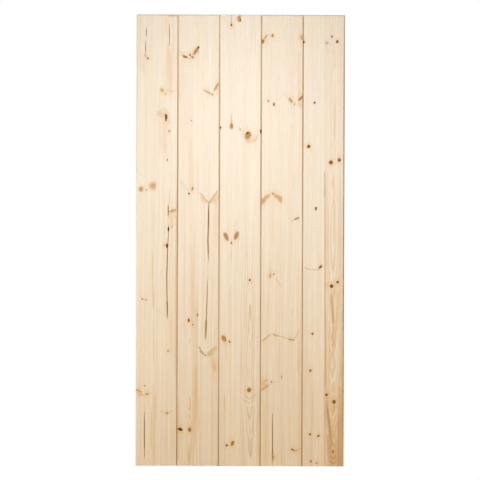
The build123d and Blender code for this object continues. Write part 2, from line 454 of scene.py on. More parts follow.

# Knots, read in the photograph's pixels: x, y, half width, half length, lean to the right in degrees,
# taper towards the upper end, shade from peach at 0 and less to black at 1, and strength of the warm halo
knots = [
    # first board
    (147.9, 58.2, 0.9, 1.0, 0, 0.0, 0.46, 0.6), (145.6, 55.4, 0.7, 1.6, 0, 0.0, -0.20, 0.7),
    (141.0, 189.0, 2.2, 2.5, 0, 0.0, 0.09, 0.9), (152.9, 185.6, 2.9, 3.0, 20, 0.0, -0.35, 0.9),
    (146.5, 189.9, 0.6, 0.8, 0, 0.0, 0.65, 0.2), (142.4, 299.0, 0.8, 1.5, -45, 0.0, 0.36, 0.2),
    (146.0, 299.8, 0.8, 0.9, 0, 0.0, 0.40, 0.2), (144.6, 385.8, 0.6, 0.8, 0, 0.0, 0.60, 0.2),
    (139.2, 392.4, 0.8, 3.4, -62, -0.4, -0.05, 0.8), (147.0, 394.1, 0.7, 1.8, 84, 0.0, 0.44, 0.6),
    (162.2, 90.2, 1.4, 2.2, -25, 0.3, -0.12, 1.0), (166.2, 93.6, 0.6, 0.7, 0, 0.0, 0.40, 0.3),
    (166.1, 116.5, 1.3, 2.8, -6, -0.2, 0.62, 1.0), (165.9, 119.6, 0.9, 1.6, 0, 0.0, 0.45, 0.8),
    (169.2, 131.2, 0.9, 1.1, 0, 0.0, 0.40, 0.4), (167.3, 159.9, 0.6, 1.4, 0, 0.0, 0.50, 0.2),
    (172.2, 211.0, 1.2, 4.2, 74, 0.45, 0.05, 1.0), (168.4, 229.1, 0.85, 2.3, 0, 0.0, 0.92, 0.4),
    (166.9, 245.8, 0.95, 2.3, 0, 0.0, 0.84, 0.7), (168.1, 351.0, 0.8, 1.0, 0, 0.0, 0.42, 0.4),
    (166.9, 413.2, 1.1, 0.8, 0, 0.0, 0.52, 0.6),
    # second board
    (185.2, 56.7, 1.2, 2.8, -70, 0.2, 0.36, 1.0), (190.0, 55.0, 0.8, 1.4, 20, 0.0, 0.38, 0.6),
    (192.4, 57.0, 0.8, 1.6, -60, 0.0, 0.30, 0.9), (195.8, 51.3, 1.6, 4.6, 33, 0.1, 0.11, 1.0),
    (198.3, 47.4, 1.05, 1.5, 36, 0.0, 0.74, 0.2), (191.4, 120.6, 0.55, 0.6, 0, 0.0, 0.65, 0.2),
    (192.4, 188.8, 0.85, 2.2, 10, 0.0, 0.40, 0.5), (189.0, 193.5, 0.9, 1.0, 0, 0.0, 0.80, 0.3),
    (188.8, 320.4, 1.2, 1.9, -6, 0.0, 0.54, 0.5), (192.7, 324.6, 0.6, 0.9, 0, 0.0, 0.50, 0.3),
    (197.4, 314.9, 0.6, 1.6, 0, 0.0, 0.62, 0.3), (180.5, 429.4, 1.5, 2.2, -60, 0.2, 0.86, 1.0),
    (177.9, 428.9, 0.6, 1.4, 80, 0.0, 0.60, 0.3), (189.7, 429.8, 1.4, 2.1, 0, 0.0, 0.55, 0.8),
    (207.6, 92.0, 0.7, 4.8, -62, -0.2, -0.15, 0.9), (212.4, 94.5, 0.7, 0.9, 0, 0.0, 0.45, 0.5),
    (216.6, 86.6, 1.1, 4.6, 30, -0.3, 0.02, 0.9), (205.6, 355.5, 0.6, 0.7, 0, 0.0, 0.75, 0.2),
    (215.2, 367.5, 0.7, 2.0, 0, 0.0, 0.10, 0.7), (209.2, 202.4, 0.7, 1.2, 0, 0.0, 0.25, 0.6),
    # third board
    (231.5, 25.1, 0.9, 1.3, 0, 0.0, 0.78, 0.9), (239.6, 18.4, 2.1, 3.3, 6, 0.0, 0.10, 0.6),
    (240.4, 20.2, 0.9, 1.6, 0, 0.0, 0.48, 0.0), (231.5, 125.8, 1.6, 2.9, 0, -0.35, 0.20, 0.9),
    (220.5, 127.6, 0.9, 1.3, 0, 0.0, 0.62, 0.6), (240.1, 129.2, 0.6, 1.2, 0, 0.0, 0.35, 0.1),
    (226.2, 236.7, 2.0, 4.3, -25, 0.15, 0.27, 0.9), (236.3, 235.8, 2.0, 4.3, 24, 0.15, 0.25, 0.8),
    (231.3, 242.9, 0.75, 0.85, 0, 0.0, 0.75, 0.3), (223.9, 338.6, 2.1, 3.3, -32, 0.0, 0.34, 0.8),
    (229.5, 341.7, 0.85, 1.4, -10, 0.0, 0.50, 0.5), (226.7, 445.4, 1.15, 1.2, 0, 0.0, 0.64, 0.7),
    (232.4, 443.5, 1.35, 2.7, 22, 0.2, 0.52, 0.7), (247.9, 135.4, 2.9, 3.9, 28, 0.0, 0.15, 1.0),
    (247.5, 133.3, 1.2, 1.7, 30, 0.0, 0.88, 0.0), (260.7, 131.3, 0.9, 2.3, 0, 0.0, 0.66, 0.5),
    (249.8, 280.0, 1.0, 1.15, 0, 0.0, 0.74, 0.5), (249.1, 389.9, 1.95, 2.3, 10, 0.0, 0.50, 0.9),
    (249.4, 389.3, 0.7, 0.9, 0, 0.0, 0.24, 0.0),
    # fourth board
    (262.8, 41.4, 1.5, 2.1, 15, 0.0, 0.35, 1.0), (265.7, 37.2, 0.8, 3.2, 35, -0.2, -0.25, 0.8),
    (272.6, 35.7, 1.1, 1.8, 0, 0.0, 0.24, 0.9), (268.4, 101.0, 0.9, 1.0, 0, 0.0, 0.48, 0.3),
    (273.9, 104.4, 1.1, 1.9, 0, 0.0, 0.30, 0.5), (266.8, 197.0, 1.7, 3.3, 54, 0.0, -0.35, 0.8),
    (263.4, 200.8, 2.1, 3.3, 40, 0.0, -0.02, 0.9), (276.6, 196.3, 1.6, 3.1, -62, 0.0, -0.35, 0.8),
    (280.3, 199.3, 2.1, 3.3, -34, 0.0, -0.12, 0.8), (272.9, 193.6, 0.9, 0.9, 0, 0.0, 0.50, 0.5),
    (270.9, 192.4, 0.5, 0.5, 0, 0.0, 0.50, 0.2), (270.1, 275.6, 1.0, 1.9, 15, 0.0, 0.18, 0.6),
    (273.9, 274.1, 0.9, 1.0, 0, 0.0, 0.34, 0.5), (275.0, 335.1, 0.8, 2.8, -68, -0.2, 0.14, 0.4),
    (264.3, 383.2, 1.1, 3.6, 46, 0.0, 0.02, 0.8), (271.4, 382.0, 0.8, 1.0, 0, 0.0, 0.50, 0.4),
    (281.6, 377.2, 0.5, 1.9, 0, 0.0, 0.30, 0.2), (273.7, 457.5, 0.9, 1.4, 0, 0.0, 0.25, 0.9),
    (301.3, 37.4, 1.0, 2.2, 0, 0.0, -0.05, 0.9), (303.9, 42.1, 0.85, 1.3, 0, 0.0, 0.75, 0.4),
    (290.6, 100.4, 1.2, 2.7, -32, 0.0, 0.04, 1.0), (294.4, 104.3, 0.6, 0.9, 0, 0.0, 0.45, 0.2),
    (300.9, 98.2, 1.15, 3.4, 44, 0.0, 0.31, 1.0), (295.1, 219.2, 1.0, 0.8, 0, 0.0, 0.52, 0.3),
    (292.2, 220.6, 0.5, 0.5, 0, 0.0, 0.55, 0.2), (297.6, 218.2, 0.8, 1.8, 64, 0.0, 0.58, 0.4),
    (290.5, 339.6, 0.7, 1.3, 80, 0.0, 0.44, 0.4), (293.1, 339.8, 0.7, 1.3, -80, 0.0, 0.46, 0.4),
    (292.7, 449.7, 0.8, 1.9, -68, 0.3, 0.62, 0.5), (296.2, 450.7, 0.55, 2.4, 72, -0.3, 0.26, 0.4),
    # fifth board
    (314.6, 102.7, 1.1, 1.15, 0, 0.0, 0.68, 0.2), (308.8, 146.5, 1.6, 1.8, 0, 0.0, 0.57, 1.0),
    (315.9, 208.6, 1.05, 1.9, 8, 0.0, 0.66, 0.4), (320.5, 266.9, 1.1, 2.0, 52, 0.0, 0.70, 0.5),
    (312.4, 333.8, 1.1, 1.2, 0, 0.0, 0.72, 0.4), (310.4, 370.5, 1.15, 1.2, 0, 0.0, 0.70, 0.4),
    (310.0, 434.3, 1.0, 1.25, -10, 0.0, 0.66, 0.4), (318.4, 435.9, 0.9, 1.6, 55, 0.0, 0.68, 0.4),
    (310.9, 461.4, 0.9, 1.0, 0, 0.0, 0.60, 0.3), (316.6, 463.2, 0.6, 1.1, 70, 0.0, 0.55, 0.3),
    (332.1, 36.6, 0.95, 1.05, 0, 0.0, 0.68, 0.4), (337.3, 41.6, 1.4, 1.7, 0, 0.0, 0.52, 0.7),
    (326.9, 42.9, 1.3, 1.3, 0, 0.0, -0.40, 0.5), (331.0, 162.5, 1.95, 2.0, 0, 0.0, 0.57, 1.0),
    (339.3, 160.0, 1.6, 1.8, 0, 0.0, 0.52, 0.9), (331.6, 286.1, 1.85, 1.9, 0, 0.0, 0.72, 0.8),
    (331.7, 285.9, 0.6, 0.6, 0, 0.0, 0.45, 0.0), (337.6, 282.1, 1.3, 1.4, 0, 0.0, 0.76, 0.5),
    (326.4, 394.8, 1.3, 1.3, 0, 0.0, 0.82, 0.6), (334.0, 401.8, 1.85, 2.0, 0, 0.0, 0.66, 1.0),
    (333.0, 451.4, 0.9, 2.2, 0, 0.0, 0.50, 0.8), (343.2, 391.2, 0.5, 1.0, 0, 0.0, 0.80, 0.2),
]

# Streaks and bands, read in the photograph's pixels: from x, y to x, y, half width, warmth, darkness
streaks = [
    # first board
    (142.6, 58.0, 143.2, 74.0, 2.2, 0.50, 0.01), (139.2, 62.0, 139.5, 120.0, 1.2, 0.15, 0.01),
    (145.7, 104.0, 145.8, 120.0, 1.2, 0.25, 0.00), (153.2, 200.0, 153.2, 250.0, 1.6, 0.20, 0.02),
    (153.2, 254.0, 153.4, 280.0, 1.4, 0.40, 0.02), (153.8, 288.0, 153.8, 308.0, 1.3, 0.45, 0.06),
    (153.4, 320.0, 153.4, 360.0, 1.4, 0.30, 0.03), (153.4, 394.0, 153.4, 474.0, 1.7, 0.46, 0.03),
    (168.8, 50.0, 169.8, 90.0, 2.7, 0.88, 0.03), (158.8, 113.4, 163.4, 114.8, 1.9, 1.10, 0.08),
    (165.2, 112.0, 166.6, 121.0, 2.3, 0.60, 0.02), (165.0, 124.0, 165.4, 152.0, 3.0, 0.55, 0.02),
    (171.8, 214.0, 171.8, 226.0, 2.2, 0.75, 0.00), (172.0, 226.4, 172.4, 226.9, 0.9, 0.40, 0.10),
    (165.5, 244.8, 163.6, 245.0, 1.2, 0.50, 0.06), (172.5, 230.0, 172.0, 330.0, 3.0, 0.20, 0.00),
    (170.5, 318.0, 170.5, 350.0, 2.4, 0.20, 0.01), (173.5, 420.0, 173.0, 460.0, 2.4, 0.25, 0.01),
    (156.8, 16.0, 156.8, 92.0, 2.0, -0.50, -0.02), (139.4, 196.0, 139.4, 290.0, 3.4, -0.40, -0.02),
    (138.6, 92.0, 138.6, 190.0, 2.2, -0.30, -0.01), (165.5, 15.0, 166.0, 30.0, 2.8, 0.40, 0.00),
    (139.8, 16.0, 139.8, 60.0, 1.6, 0.30, 0.01), (173.6, 40.0, 173.6, 86.0, 2.2, 0.30, 0.01),
    (159.6, 96.0, 159.8, 150.0, 1.6, 0.40, 0.03), (168.0, 205.0, 168.2, 226.0, 0.9, 0.50, 0.06),
    (164.0, 112.0, 168.2, 121.0, 3.4, 0.75, 0.01),
    # second board
    (183.0, 66.0, 182.0, 100.0, 1.8, 0.25, 0.00), (181.5, 75.6, 182.2, 76.0, 1.0, 0.35, 0.00),
    (191.3, 140.0, 191.2, 156.0, 1.6, 0.28, 0.01), (193.0, 160.0, 193.2, 186.0, 1.8, 0.40, 0.00),
    (180.4, 180.6, 187.2, 187.6, 1.2, -0.1, 0.05), (181.5, 187.0, 185.5, 191.6, 1.0, -0.1, 0.04),
    (195.0, 240.0, 195.0, 330.0, 2.6, 0.20, 0.01), (195.2, 376.0, 195.4, 442.0, 3.0, 0.42, 0.02),
    (189.2, 446.0, 189.2, 464.0, 1.2, 0.35, 0.02), (201.6, 198.4, 204.4, 201.6, 2.2, 0.60, 0.03),
    (213.6, 200.6, 218.0, 196.4, 2.6, 0.90, 0.05), (215.2, 202.0, 215.6, 240.0, 3.0, 0.36, 0.02),
    (208.6, 354.2, 215.2, 349.0, 2.0, 0.85, 0.05), (214.2, 357.0, 213.8, 380.0, 1.6, 0.35, 0.02),
    (213.0, 400.0, 213.0, 460.0, 2.4, 0.18, 0.02), (203.5, 88.8, 212.6, 95.2, 2.0, 0.35, 0.00),
    (180.4, 60.0, 180.0, 118.0, 1.8, 0.35, 0.01), (206.6, 20.0, 206.8, 60.0, 2.2, 0.35, 0.02),
    (189.3, 152.0, 189.8, 188.0, 1.4, 0.30, 0.01), (198.0, 164.0, 198.2, 196.0, 1.2, 0.35, 0.02),
    (191.8, 262.0, 191.8, 330.0, 2.0, 0.25, 0.01), (197.2, 300.0, 196.4, 400.0, 1.8, 0.35, 0.02),
    (211.5, 352.0, 212.5, 366.0, 2.0, 0.40, 0.01), (200.2, 358.0, 199.8, 466.0, 1.0, 0.40, 0.03),
    (216.4, 201.0, 216.6, 207.0, 1.6, 0.40, 0.01), (186.0, 62.0, 186.4, 140.0, 3.2, 0.22, 0.01),
    # third board
    (233.4, 27.0, 233.6, 34.0, 1.3, 0.50, 0.01), (221.8, 17.6, 224.0, 18.0, 1.6, 0.35, 0.00),
    (236.6, 17.4, 237.6, 20.0, 1.4, 0.50, 0.00), (231.6, 239.0, 231.6, 243.6, 1.0, 0.50, 0.03),
    (228.8, 220.0, 228.4, 230.0, 1.0, 0.35, 0.00), (235.6, 220.0, 235.8, 230.0, 1.0, 0.35, 0.00),
    (231.3, 249.0, 231.3, 262.0, 0.9, 0.30, 0.02), (226.0, 343.0, 226.5, 358.0, 1.4, 0.35, 0.01),
    (230.0, 290.0, 230.0, 330.0, 2.0, 0.20, 0.01), (231.5, 86.0, 231.5, 99.0, 1.2, 0.30, 0.02),
    (224.5, 395.0, 224.4, 420.0, 1.0, 0.30, 0.03), (235.0, 380.0, 235.0, 420.0, 1.0, 0.25, 0.01),
    (246.0, 140.0, 246.0, 165.0, 2.2, 0.20, 0.00), (255.0, 127.0, 255.2, 143.0, 2.8, 0.35, 0.01),
    (257.6, 390.0, 257.6, 460.0, 1.6, 0.30, 0.02), (244.0, 132.0, 251.6, 138.6, 4.2, 0.65, 0.02),
    # fourth board
    (263.0, 43.0, 267.0, 36.0, 2.2, 0.45, 0.00), (271.6, 44.0, 271.8, 80.0, 0.9, 0.16, 0.02),
    (271.8, 112.0, 271.9, 122.0, 0.9, 0.20, 0.01), (284.0, 94.0, 289.0, 99.0, 1.2, 0.30, 0.02),
    (296.5, 101.0, 301.5, 98.0, 1.6, 0.50, 0.00), (294.0, 102.0, 298.0, 106.0, 1.3, 0.40, 0.02),
    (299.5, 104.0, 299.5, 190.0, 1.8, 0.25, 0.01), (298.6, 58.0, 299.0, 100.0, 1.7, 0.45, 0.04),
    (272.6, 206.0, 272.6, 236.0, 0.9, 0.25, 0.01), (286.8, 205.0, 288.0, 213.0, 1.0, 0.30, 0.01),
    (277.5, 279.5, 281.4, 286.5, 1.1, 0.25, 0.03), (270.2, 262.0, 270.2, 274.0, 0.9, 0.35, 0.02),
    (262.0, 345.0, 266.0, 339.0, 1.4, 0.25, 0.00), (298.8, 97.0, 302.4, 110.0, 1.4, 0.45, 0.03),
    (298.6, 345.0, 298.8, 372.0, 1.0, 0.30, 0.02), (298.8, 290.0, 299.4, 470.0, 1.7, 0.42, 0.02),
    (280.0, 345.0, 280.0, 376.0, 3.0, 0.20, 0.02), (266.0, 392.0, 266.0, 466.0, 3.0, 0.22, -0.02),
    (281.6, 395.0, 281.6, 466.0, 2.6, 0.22, 0.02), (273.6, 366.0, 273.8, 450.0, 1.2, 0.30, 0.02),
    # fifth board
    (313.0, 396.0, 312.6, 425.0, 1.2, 0.20, 0.03), (334.8, 50.0, 334.8, 68.0, 1.0, 0.40, 0.02),
    (327.0, 49.0, 328.0, 53.0, 1.6, 0.35, 0.00), (335.0, 90.0, 334.8, 156.0, 1.1, 0.70, 0.05),
    (331.0, 70.0, 331.0, 150.0, 0.7, 0.25, 0.02), (341.0, 60.0, 341.0, 150.0, 1.6, 0.25, 0.00),
    (334.2, 172.0, 334.0, 194.0, 0.9, 0.30, 0.02), (334.2, 196.0, 334.2, 238.0, 1.0, 0.55, 0.05),
    (340.6, 180.0, 340.4, 280.0, 1.8, 0.50, 0.02), (327.5, 176.0, 327.5, 280.0, 1.6, 0.40, 0.02),
    (334.6, 288.0, 334.8, 296.0, 2.4, 0.50, 0.00), (329.2, 330.0, 329.2, 390.0, 0.8, 0.35, 0.04),
    (341.6, 300.0, 341.4, 368.0, 1.6, 0.45, 0.04), (341.6, 366.0, 341.4, 392.0, 1.4, 0.60, 0.07),
    (333.0, 362.0, 333.2, 372.0, 0.9, 0.50, 0.06), (328.0, 440.0, 331.0, 466.0, 2.2, 0.70, 0.12),
    (340.4, 400.0, 340.4, 480.0, 2.2, 0.90, 0.17), (342.6, 400.0, 342.4, 466.0, 0.9, 0.50, 0.06),
    (336.0, 440.0, 335.6, 466.0, 1.2, 0.70, 0.10), (333.2, 454.0, 333.2, 466.0, 0.9, 0.60, 0.10),
    (338.4, 444.0, 338.0, 466.0, 1.0, 0.80, 0.08), (325.2, 400.0, 325.2, 476.0, 1.6, -0.35, -0.03),
    (326.8, 396.0, 326.8, 424.0, 1.3, 0.55, 0.08), (334.0, 405.0, 333.4, 410.0, 2.0, 0.50, 0.02),
    (304.8, 36.0, 305.2, 42.0, 1.4, 0.45, 0.04), (333.0, 178.0, 333.0, 187.0, 1.2, 0.45, 0.03),
    (333.0, 384.0, 333.0, 391.0, 1.2, 0.55, 0.07), (332.8, 346.0, 333.0, 382.0, 2.0, -0.35, -0.03),
    (327.6, 408.0, 330.6, 450.0, 1.2, 0.60, 0.12), (328.6, 285.0, 338.6, 283.0, 4.0, 0.40, 0.00),
    (331.0, 400.6, 337.4, 403.0, 4.0, 0.35, 0.00), (306.8, 146.0, 310.8, 147.0, 3.0, 0.30, 0.00),
]

# Fine lines, read in the photograph's pixels: half width, warmth, darkness, and the places on them
lines = [
    # first board
    (0.7, 0.30, -0.14, (147.0, 26.0), (146.4, 32.0), (145.7, 38.0)),
    (0.7, 0.30, -0.22, (145.3, 40.0), (144.9, 48.0), (145.0, 56.0)),
    (0.7, 0.30, -0.22, (169.4, 20.0), (169.2, 34.0), (169.3, 48.0)),
    (0.7, 0.20, -0.24, (144.4, 447.0), (144.5, 470.0)), (0.5, 0.30, 0.06, (144.6, 396.0), (144.6, 466.0)),
    (0.7, 0.40, 0.44, (135.4, 388.6), (138.4, 391.0), (142.4, 392.8)),
    (0.7, 0.50, 0.10, (137.0, 393.6), (141.0, 395.0), (146.0, 394.8)),
    (0.6, 0.40, 0.02, (149.0, 393.4), (152.6, 392.4)), (0.5, 0.45, 0.08, (155.4, 392.0), (155.6, 424.0)),
    (0.5, 0.40, 0.10, (151.4, 406.0), (151.2, 452.0)), (0.5, 0.45, 0.05, (152.4, 250.0), (152.6, 310.0)),
    (0.4, 0.30, 0.03, (141.8, 296.4), (140.0, 295.6)), (0.5, 0.30, 0.35, (168.0, 15.4), (178.0, 15.4)),
    (0.7, 0.50, 0.06, (165.4, 90.0), (168.8, 90.8)), (0.5, 0.25, 0.14, (169.6, 188.0), (169.2, 207.0)),
    (0.5, 0.25, 0.08, (157.5, 310.4), (162.4, 313.6), (167.0, 316.2)),
    (0.7, 0.50, 0.34, (167.1, 300.0), (167.3, 310.0), (167.4, 320.0)),
    (0.7, 0.30, 0.05, (160.2, 410.6), (165.6, 413.4)), (0.6, 0.30, 0.05, (168.0, 413.4), (172.6, 410.8)),
    (0.5, 0.25, 0.06, (166.7, 414.0), (166.5, 446.0)),
    (0.6, 0.80, 0.08, (150.4, 188.8), (153.4, 189.8), (156.2, 187.0), (156.6, 182.6), (155.0, 179.4)),
    (0.8, 0.40, 0.10, (176.4, 172.0), (176.0, 300.0), (175.6, 392.0)),
    (0.6, 0.50, 0.09, (168.0, 247.0), (167.3, 268.0), (167.0, 290.0), (167.5, 318.0)),
    (0.7, 0.60, 0.06, (168.4, 90.6), (171.8, 91.6), (176.4, 90.0)),
    # second board
    (0.9, 0.80, 0.05, (179.6, 49.6), (182.2, 54.4), (185.4, 57.6), (190.0, 58.8), (194.2, 57.4),
     (197.8, 53.0), (200.4, 46.6)),
    (0.9, 0.30, 0.07, (178.3, 392.0), (178.1, 466.0)),
    (0.7, 0.50, 0.16, (208.7, 204.0), (208.5, 225.0), (207.9, 243.0), (208.1, 260.0)),
    (0.7, 0.40, 0.09, (208.7, 202.0), (208.6, 214.0), (208.4, 228.0)),
    (0.8, 0.50, -0.12, (207.3, 282.0), (206.9, 302.0), (206.0, 324.0)),
    (0.9, 0.60, 0.26, (206.0, 318.0), (205.6, 329.0), (205.4, 341.0)),
    (0.6, 0.60, 0.11, (189.0, 396.0), (190.2, 403.0), (189.6, 412.0)),
    (0.5, 0.40, 0.08, (189.2, 414.0), (189.8, 420.0)), (0.5, 0.30, 0.05, (198.4, 396.0), (198.4, 432.0)),
    (0.5, 0.35, 0.04, (189.4, 446.0), (189.0, 464.0)), (0.5, 0.50, 0.08, (189.8, 338.0), (189.7, 345.0)),
    (0.5, 0.20, 0.05, (207.5, 260.0), (207.4, 284.0)),
    (0.7, 0.80, 0.20, (198.6, 191.6), (203.6, 197.4), (209.0, 203.6)),
    (0.7, 0.80, 0.24, (209.0, 203.6), (213.4, 196.7), (219.0, 189.6)),
    (0.8, 0.25, 0.04, (179.6, 181.0), (184.0, 186.6), (189.0, 191.4)),
    (0.7, 0.50, 0.34, (198.4, 345.6), (200.8, 350.8), (205.2, 355.4)),
    (0.5, 0.40, 0.18, (198.8, 350.4), (203.4, 355.0)),
    (0.5, 0.45, 0.16, (207.0, 355.2), (211.6, 350.4), (216.4, 345.0)),
    (0.5, 0.40, 0.14, (207.0, 355.4), (214.8, 352.8)),
    # third board
    (0.6, 0.50, 0.10, (243.8, 138.4), (247.2, 141.6), (252.0, 140.8)),
    (0.6, 0.35, 0.08, (251.5, 143.0), (256.4, 139.6), (259.4, 132.4)),
    (0.5, 0.50, 0.14, (231.3, 113.0), (231.5, 123.6)), (0.7, 0.35, 0.12, (260.0, 388.0), (259.8, 426.0)),
    (0.6, 0.20, 0.22, (231.4, 13.0), (231.5, 26.0)), (0.5, 0.25, 0.05, (251.8, 22.0), (251.6, 60.0)),
    (0.5, 0.25, 0.04, (255.2, 22.0), (255.6, 60.0)), (0.6, 0.45, 0.10, (250.6, 140.4), (254.4, 137.6)),
    (0.6, 0.40, 0.08, (250.0, 143.2), (255.6, 140.0)), (0.5, 0.30, 0.06, (246.0, 248.0), (246.2, 260.0)),
    (0.5, 0.30, 0.05, (248.2, 286.0), (249.6, 283.0)),
    (0.5, 0.35, 0.10, (249.9, 302.0), (249.0, 316.0), (248.2, 338.0)),
    (0.5, 0.35, 0.09, (250.4, 302.0), (252.0, 322.0), (252.8, 344.0)),
    (0.8, 0.70, 0.04, (250.2, 303.0), (250.3, 322.0)), (0.5, 0.30, 0.08, (250.0, 341.0), (250.0, 348.0)),
    (0.5, 0.30, 0.05, (249.3, 366.0), (249.3, 380.0)),
    (0.5, 0.50, 0.13, (243.6, 394.4), (249.4, 399.4), (253.4, 396.4), (257.4, 393.0)),
    (0.5, 0.45, 0.10, (241.4, 398.4), (249.2, 403.4), (256.6, 398.4)),
    (0.5, 0.35, 0.10, (246.6, 405.0), (251.2, 436.0)), (0.5, 0.35, 0.09, (255.2, 405.0), (251.8, 435.0)),
    (0.4, 0.30, 0.08, (249.0, 404.0), (251.2, 414.0), (253.0, 404.0)),
    (0.5, 0.25, 0.06, (251.0, 438.0), (250.2, 456.0)), (0.5, 0.25, 0.06, (224.4, 396.0), (224.4, 410.0)),
    (0.4, 0.20, 0.05, (231.4, 249.0), (231.4, 258.0)),
    # fourth board
    (0.5, 0.20, 0.09, (293.0, 172.0), (293.6, 181.0), (293.0, 190.0)),
    (0.5, 0.15, 0.06, (296.0, 172.0), (296.0, 190.0)),
    (0.9, 0.50, 0.14, (260.8, 342.0), (266.0, 337.8), (272.0, 333.4)),
    (0.5, 0.25, 0.05, (274.4, 277.6), (281.6, 286.6)),
    (0.7, 0.60, 0.13, (273.0, 334.4), (277.0, 335.6), (284.6, 337.6)),
    (0.7, 0.50, 0.12, (281.6, 336.8), (286.0, 338.2), (291.0, 339.6)),
    (0.6, 0.35, 0.13, (294.6, 339.0), (297.4, 334.0), (298.8, 330.0)),
    (0.9, 0.50, 0.04, (260.4, 385.0), (264.0, 382.0), (268.0, 379.0)),
    (1.0, 0.90, 0.24, (260.6, 391.0), (264.0, 388.2), (269.0, 384.4)),
    (0.8, 0.90, 0.16, (261.2, 385.4), (263.6, 383.0), (266.8, 380.4)),
    (0.5, 0.25, 0.05, (272.0, 382.0), (277.0, 382.2), (281.4, 380.8)),
    (0.4, 0.20, 0.05, (277.6, 438.0), (277.5, 466.0)), (0.5, 0.30, 0.05, (281.4, 446.0), (281.3, 466.0)),
    (0.6, 0.35, 0.05, (296.4, 451.0), (300.8, 447.8)),
    (0.8, 0.35, 0.03, (302.2, 245.0), (301.6, 320.0), (301.0, 412.0)),
    (0.5, 0.30, -0.06, (272.8, 410.0), (272.8, 452.0)), (0.5, 0.40, 0.18, (272.9, 446.0), (272.9, 472.0)),
    # fifth board
    (0.8, 0.45, 0.11, (303.2, 267.4), (310.0, 269.6), (318.0, 269.8), (322.6, 262.4)),
    (0.4, 0.12, 0.05, (324.6, 14.0), (324.6, 172.0)), (0.5, 0.40, 0.32, (324.9, 169.0), (324.9, 200.0)),
    (0.6, 0.50, 0.20, (325.0, 186.0), (325.0, 330.0)), (0.8, 0.60, 0.16, (325.4, 306.0), (325.6, 394.0)),
    (0.6, 0.45, 0.12, (325.0, 392.0), (324.8, 470.0)), (0.9, 0.70, 0.09, (333.6, 324.0), (333.0, 350.0)),
    (1.2, 1.40, 0.19, (331.2, 292.0), (332.4, 309.0), (333.9, 326.0)),
    (0.6, 0.55, 0.10, (337.6, 288.0), (336.8, 318.0), (335.6, 334.0), (333.6, 354.0)),
    (0.5, 0.45, 0.09, (331.2, 334.0), (333.2, 354.0)), (0.5, 0.40, 0.05, (339.4, 286.0), (339.0, 330.0)),
    (0.9, 0.70, 0.22, (327.0, 404.0), (329.6, 424.0), (332.6, 448.0)),
    (0.5, 0.50, 0.16, (330.6, 407.0), (332.6, 416.0), (335.0, 407.0)),
    (0.5, 0.50, 0.14, (330.4, 414.0), (333.2, 428.0), (336.6, 413.0)),
    (0.5, 0.50, 0.12, (331.4, 424.0), (333.4, 438.0), (336.8, 422.0)),
    (0.5, 0.50, 0.22, (329.8, 455.0), (333.2, 459.4), (336.6, 454.4)),
    (0.5, 0.50, 0.22, (329.2, 459.4), (333.2, 464.4), (337.2, 459.0)),
    (0.6, 0.50, 0.18, (330.2, 448.0), (332.6, 443.4), (335.6, 448.0)),
    # The first line here runs down the leaf's right edge: painted shade.
    (0.6, 0.15, 0.28, (344.2, 6.0), (342.8, 476.0)), (0.5, 0.60, 0.10, (338.0, 412.0), (338.2, 470.0)),
]

# Knots of the ledges: shares of the length and the width, half width and half length in metres, lean, taper,
# shade and halo
ledge_knots = {
    "top_ledge": [
        (0.13, 0.62, 0.0055, 0.0080, 12, 0.0, 0.50, 0.7), (0.37, 0.28, 0.0090, 0.0120, -14, 0.0, 0.42, 0.8),
        (0.63, 0.70, 0.0040, 0.0050, 0, 0.0, 0.75, 0.4), (0.84, 0.40, 0.0080, 0.0110, 18, 0.1, 0.48, 0.8),
    ],
    "middle_ledge": [
        (0.22, 0.38, 0.0075, 0.0095, 0, 0.0, 0.45, 0.8), (0.48, 0.66, 0.0045, 0.0060, 10, 0.0, 0.70, 0.5),
        (0.71, 0.30, 0.0095, 0.0130, -10, 0.1, 0.40, 0.8), (0.93, 0.60, 0.0040, 0.0055, 0, 0.0, 0.62, 0.5),
    ],
    "bottom_ledge": [
        (0.07, 0.45, 0.0060, 0.0075, 0, 0.0, 0.58, 0.6), (0.31, 0.68, 0.0085, 0.0115, 16, 0.0, 0.44, 0.8),
        (0.55, 0.34, 0.0050, 0.0065, -8, 0.0, 0.66, 0.5), (0.79, 0.58, 0.0090, 0.0110, 0, 0.0, 0.42, 0.8),
    ],
}


def photo_place(across, down):
    """Leaf x and z of a place in the photograph: pixels from the leaf's left and bottom edges, straightened
    by the small lean of the leaf in the picture."""
    right = across - photo_left + photo_lean * (down - photo_middle)
    up = photo_bottom - down + photo_lean * (across - photo_middle)
    return leaf_left + right * metres_per_pixel, up * metres_per_pixel


def photo_row(z):
    """The photograph's row at a height on the leaf."""
    return photo_bottom - z / metres_per_pixel


def knots_in_metres(rows):
    """Knots in metres: places from the photograph's pixels, half sizes by its scale, the rest as read."""
    made = []
    for across, down, half_width, half_length, *rest in rows:
        sizes = (half_width * metres_per_pixel, half_length * metres_per_pixel)
        made.append((*photo_place(across, down), *sizes, *rest))
    return made


def streaks_in_metres(rows):
    """Streaks in metres: both ends from the photograph's pixels, and the half width by its scale."""
    made = []
    for start_x, start_y, end_x, end_y, half_width, warm, dark in rows:
        ends = (*photo_place(start_x, start_y), *photo_place(end_x, end_y))
        made.append((*ends, half_width * metres_per_pixel, warm, dark))
    return made


def lines_in_metres(rows):
    """Lines in metres: the places on them from the photograph's pixels, and the half width by its scale."""
    made = []
    for half_width, warm, dark, *places in rows:
        made.append((half_width * metres_per_pixel, warm, dark, [photo_place(*place) for place in places]))
    return made


def smooth_noise(places, wavelength, seed):
    """A smooth wave about zero, within one: a mean of sines whose phases come from the seed."""
    dice = np.random.default_rng(seed)
    total = np.zeros_like(places)
    for share in wave_shares:
        phase = dice.uniform(0, 2 * math.pi)
        total += np.sin(2 * math.pi * places / (wavelength * share) + phase) / len(wave_shares)
    return total


